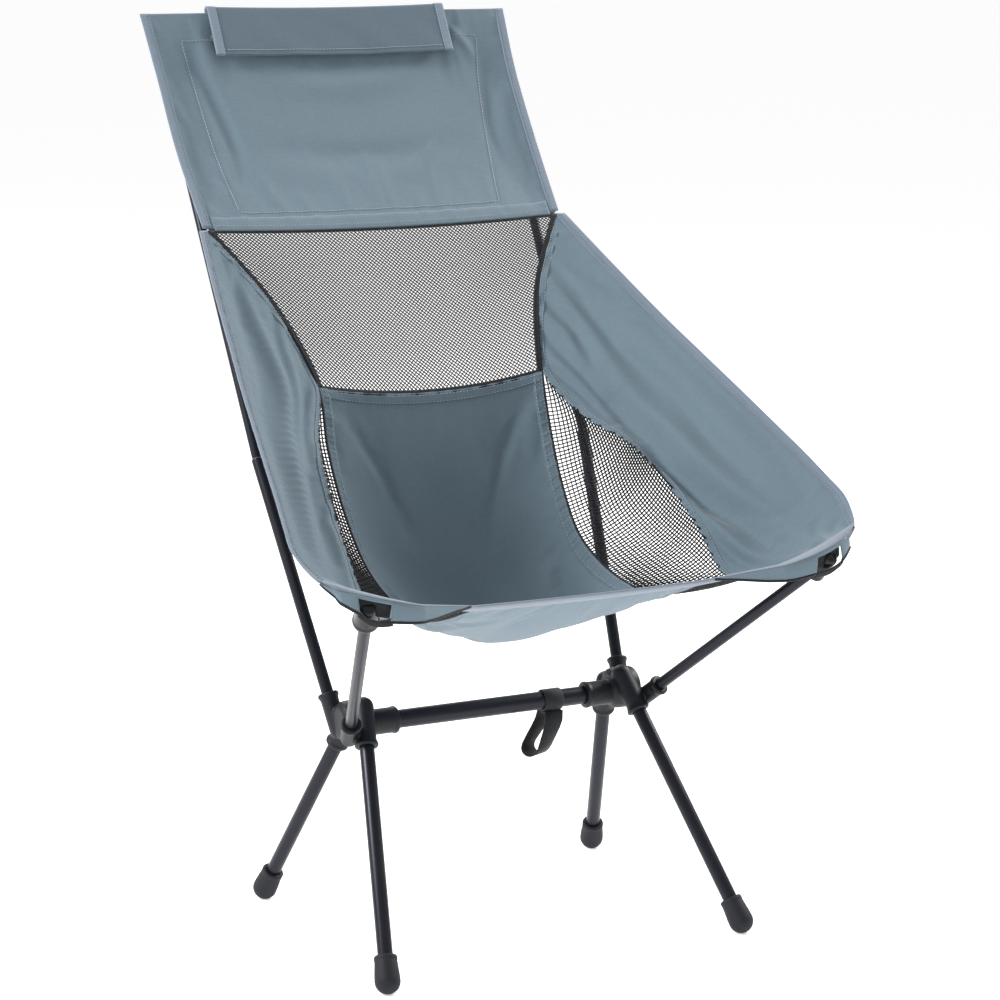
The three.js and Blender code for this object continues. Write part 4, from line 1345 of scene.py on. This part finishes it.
def gusset_trim(side, top, bottom):
    """Piping along the gusset's lower edge, and webbing and lining around its window."""
    low, high = (edge * MM for edge in GUSSET_WINDOW)
    out = np.abs(bottom[:, 0])
    edges = [bottom[out < low + MM], bottom[out > high - MM]]
    normals = [facing_front(edge) for edge in edges]
    piping = joined_tubes(f"gusset_piping_{side}", edges, normals, 1.6 * MM, 10, BLACK_BINDING)
    window = (out >= low - 2 * MM) & (out <= high + 2 * MM)
    sill, front = bottom[window], facing_front(bottom[window])
    hang = np.sin(np.linspace(0, math.pi, len(sill)))[:, None] * np.array((0, 0.004, -0.004))
    lower, upper = sill + hang + (0, 0.0005, -0.004), sill + hang * 0.6 + (0, -0.0004, 0.0015)
    band = ribbon(f"cup_webbing_{side}", lower, upper, front, 0.0016, WEBBING)
    lower, upper = sill + (0, 0.008, 0.002), top[window] + (0, 0.004, -0.002)
    lining = ribbon(f"cup_lining_{side}", lower, upper, front, 0.0012, BLACK_BINDING)
    return [placed(made) for made in (piping, band, lining)]


def gusset(side, sign):
    top, bottom = (on_side(edge, sign) for edge in gusset_lines())
    shares = np.linspace(0, 1, GUSSET_ROWS)[:, None, None]
    belly = np.sin(math.pi * shares) * np.array((0, -0.0008, 0))
    panel = Panel(f"front_gusset_cloth_{side}", top * (1 - shares) + bottom * shares + belly)
    made = panel.surface(CLOTH)
    cut_window(made, top, bottom)
    thickened(made, 0.0008)
    placed(made, "root", [f"front_gusset_{side}"])
    trim = gusset_trim(side, top, bottom)
    size = panel.size()


for side, sign in SIDES.items():
    gusset(side, sign)


# ---------- headrest flap ----------
FLAP = {"half": 150, "front": 56, "back": 32, "stand": 4.2, "fold": 3, "sag": 3}
FLAP_ALONG, FLAP_OUT = np.array((0, 0.507, 0.862)), np.array((0, -0.862, 0.507))
FLAP_TOP = in_frame((0, 433, 970))


def flap_point(up, off):
    return FLAP_TOP + FLAP_ALONG * up * MM + FLAP_OUT * off * MM


def headrest_flap():
    """One piece of cloth folded over the head panel's top edge, deeper in front than behind."""
    stand, fold = FLAP["stand"], FLAP["fold"]
    reach = FLAP["back"] + fold
    behind = [(up, -stand - 0.6 * (fold - up) / reach) for up in np.linspace(-FLAP["back"], fold, 9)]
    arc = [(fold + stand * math.sin(a), stand * math.cos(a)) for a in np.linspace(math.pi, 0, 11)[1:-1]]
    ahead = [(up, stand) for up in np.linspace(fold, -FLAP["front"], 15)]
    section = np.array([*behind, *arc, *ahead])
    xs = np.linspace(-FLAP["half"], FLAP["half"], 76)
    rows = []
    for up, off in section:
        base = flap_point(up, off)
        wave = 0.0006 * np.sin(xs / 23 + up * 0.05) + 0.0004 * np.sin(xs / 9.7 + up * 0.11)
        depth = np.clip(-up / FLAP["front"], 0, 1)
        row = np.stack([xs * MM, np.full(76, base[1]), np.full(76, base[2])], -1)
        sag = FLAP["sag"] * MM * (1 - (xs / FLAP["half"]) ** 2)
        rows.append(row + FLAP_OUT * (wave * depth)[:, None] - FLAP_ALONG * sag[:, None])
    return Panel("headrest_flap", np.stack(rows))


def make_flap():
    panel = headrest_flap()
    cloth = panel.sewn(FLAP_CLOTH, 0.0011)
    downs = np.linspace(0, 1, 60)
    ends, seams = [], []
    for far, near in ((0.0, 0.035), (1.0, 0.965)):
        outer, up = panel.run(downs, far)
        inner = panel.run(downs, near)[0]
        name = f"flap_end_tape_{'left' if far == 0 else 'right'}"
        ends.append(ribbon(name, inner, outer, up, 0.0026, BINDING, 0.0001, 61))
        seams += [panel.run(downs, far * 0.86 + near * 0.14), panel.run(downs, near)]
    wide = np.linspace(0.04, 0.96, 90)
    rows = [panel.run(down, wide) for down in (0.95, 0.06)]
    rows += [(points, face * normals) for points, normals in seams for face in (1, -1)]
    paths, ups = [], []
    for points, normals in rows:
        some_paths, some_ups = stitch_row(points, normals)
        paths += some_paths
        ups += some_ups
    threads = joined_tubes("flap_stitches", paths, ups, STITCH_RADIUS, 5, THREAD, STITCH_TAPER)
    for made in (cloth, *ends, threads):
        apply_modifiers(made)
        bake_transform(made)
    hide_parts("headrest_flap_back", "headrest_flap_front")
    panel.size()


make_flap()


# ---------- strap ----------
STRAP = {
    "start": 62, "width": 22, "eye": 10.3, "thickness": 1.8, "drop": 49, "half": 13, "turn": 25, "lean": 20,
}


def strap_band(name, outline):
    """Webbing along a closed outline in the y, z plane; below the bar it leans and turns."""
    outline = np.asarray(outline, float)
    count = len(outline)
    path = np.column_stack([np.zeros(count), outline])
    ahead = np.roll(path, -1, 0) - np.roll(path, 1, 0)
    out = unit(np.cross(ahead, (1.0, 0, 0)))
    half, width = STRAP["thickness"] / 2, STRAP["width"] / 2
    corners = [(-width, -0.5), (-width + 0.5, -1), (0, -1.05), (width - 0.5, -1), (width, -0.5)]
    corners += [(x, -y) for x, y in corners[::-1]]
    rings = np.stack([path + np.array((x, 0, 0)) + out * y * half for x, y in corners], 1)
    neck = -STRAP["eye"] - STRAP["thickness"] - 1
    share = np.clip((neck - rings[..., 2]) / STRAP["drop"], 0, 1)
    share = share * share * (3 - 2 * share)
    turn = share * math.radians(STRAP["turn"])
    x = rings[..., 0] * np.cos(turn) - rings[..., 1] * np.sin(turn) - STRAP["lean"] * share
    y = rings[..., 0] * np.sin(turn) + rings[..., 1] * np.cos(turn)
    rings = in_frame(np.stack([x, y, rings[..., 2]], -1) + (STRAP["start"] + width, 0, BAR_HEIGHT))
    across = np.array([c[0] for c in corners[:5]] + [c[0] + STRAP["width"] for c in corners[5:]]) * MM
    return swept(name, rings, across, WEBBING, wrap_path=True)


def make_strap():
    mid = STRAP["eye"] + STRAP["thickness"] / 2
    eye = [(mid * math.cos(a), mid * math.sin(a)) for a in np.linspace(0, 2 * math.pi, 49)[:-1]]
    low = -STRAP["eye"] - STRAP["thickness"] - STRAP["drop"] + STRAP["half"]
    inside = STRAP["half"] - STRAP["thickness"] / 2
    shoulder = -STRAP["eye"] - STRAP["thickness"] * 1.5
    belly = [(-inside * math.cos(a), low - inside * math.sin(a)) for a in np.linspace(0, math.pi, 17)]
    rise = [(inside * w, low + (shoulder - low) * s) for s, w in ((0.25, 0.99), (0.5, 0.97), (0.75, 0.92))]
    rise += [(9.0, shoulder + 1.2), (6.0, shoulder + 0.9), (0.0, shoulder)]
    fall = [(-y, z) for y, z in rise[-2::-1]]
    placed(strap_band("strap_eye", eye), "strap", ["strap_loop"])
    placed(strap_band("strap_drop", [*fall, *belly, *rise]), "strap")


make_strap()

# ---------- remaining CAD nodes ----------
FINISHES = {"crossbar_cord": ELASTIC, "back_pole_spigot": BARE_ALLOY, "back_pole_cord": ELASTIC}
for name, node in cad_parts.items():
    for start, material in FINISHES.items():
        if name.startswith(start):
            node.data.materials.clear()
            node.data.materials.append(material)


# ---------- floor and light ----------
FLOOR_HALF = 400
FLOOR_GLOW, WORLD_GLOW = 0.45, 0.58
LAMPS = {
    "key": ((-2.9, 0.5, 2.5), 0.9, 125),
    "fill": ((2.9, 0.4, 2.3), 1.2, 105),
    "rim": ((0.4, 2.8, 2.2), 1.4, 30),
}  # place, size and power
LAMP_AIM = Vector((0, 0, 0.5))


def make_studio():
    mesh = bpy.data.meshes.new("floor")
    far = FLOOR_HALF
    mesh.from_pydata([(-far, -far, 0), (far, -far, 0), (far, far, 0), (-far, far, 0)], [], [(0, 1, 2, 3)])
    ground = Shader("floor", 0.9, Specular_IOR_Level=0.1, Base_Color=(0.9, 0.9, 0.9, 1))
    surface = ground.surface
    surface.inputs["Emission Color"].default_value = (1, 1, 1, 1)
    surface.inputs["Emission Strength"].default_value = FLOOR_GLOW
    mesh.materials.append(ground.material)
    added("floor", mesh)
    world = bpy.data.worlds.new("studio")
    world.use_nodes = True
    background = world.node_tree.nodes["Background"]
    background.inputs["Color"].default_value = (1, 1, 1, 1)
    background.inputs["Strength"].default_value = WORLD_GLOW
    bpy.context.scene.world = world
    for name, (place, size, power) in LAMPS.items():
        lamp = bpy.data.lights.new(name, "AREA")
        lamp.shape, lamp.size, lamp.energy = "DISK", size, power
        made = added(name, lamp)
        made.location = place
        made.rotation_mode = "QUATERNION"
        made.rotation_quaternion = (LAMP_AIM - Vector(place)).to_track_quat("-Z", "Y")
    bpy.context.scene.view_settings.view_transform = "Standard"


make_studio()
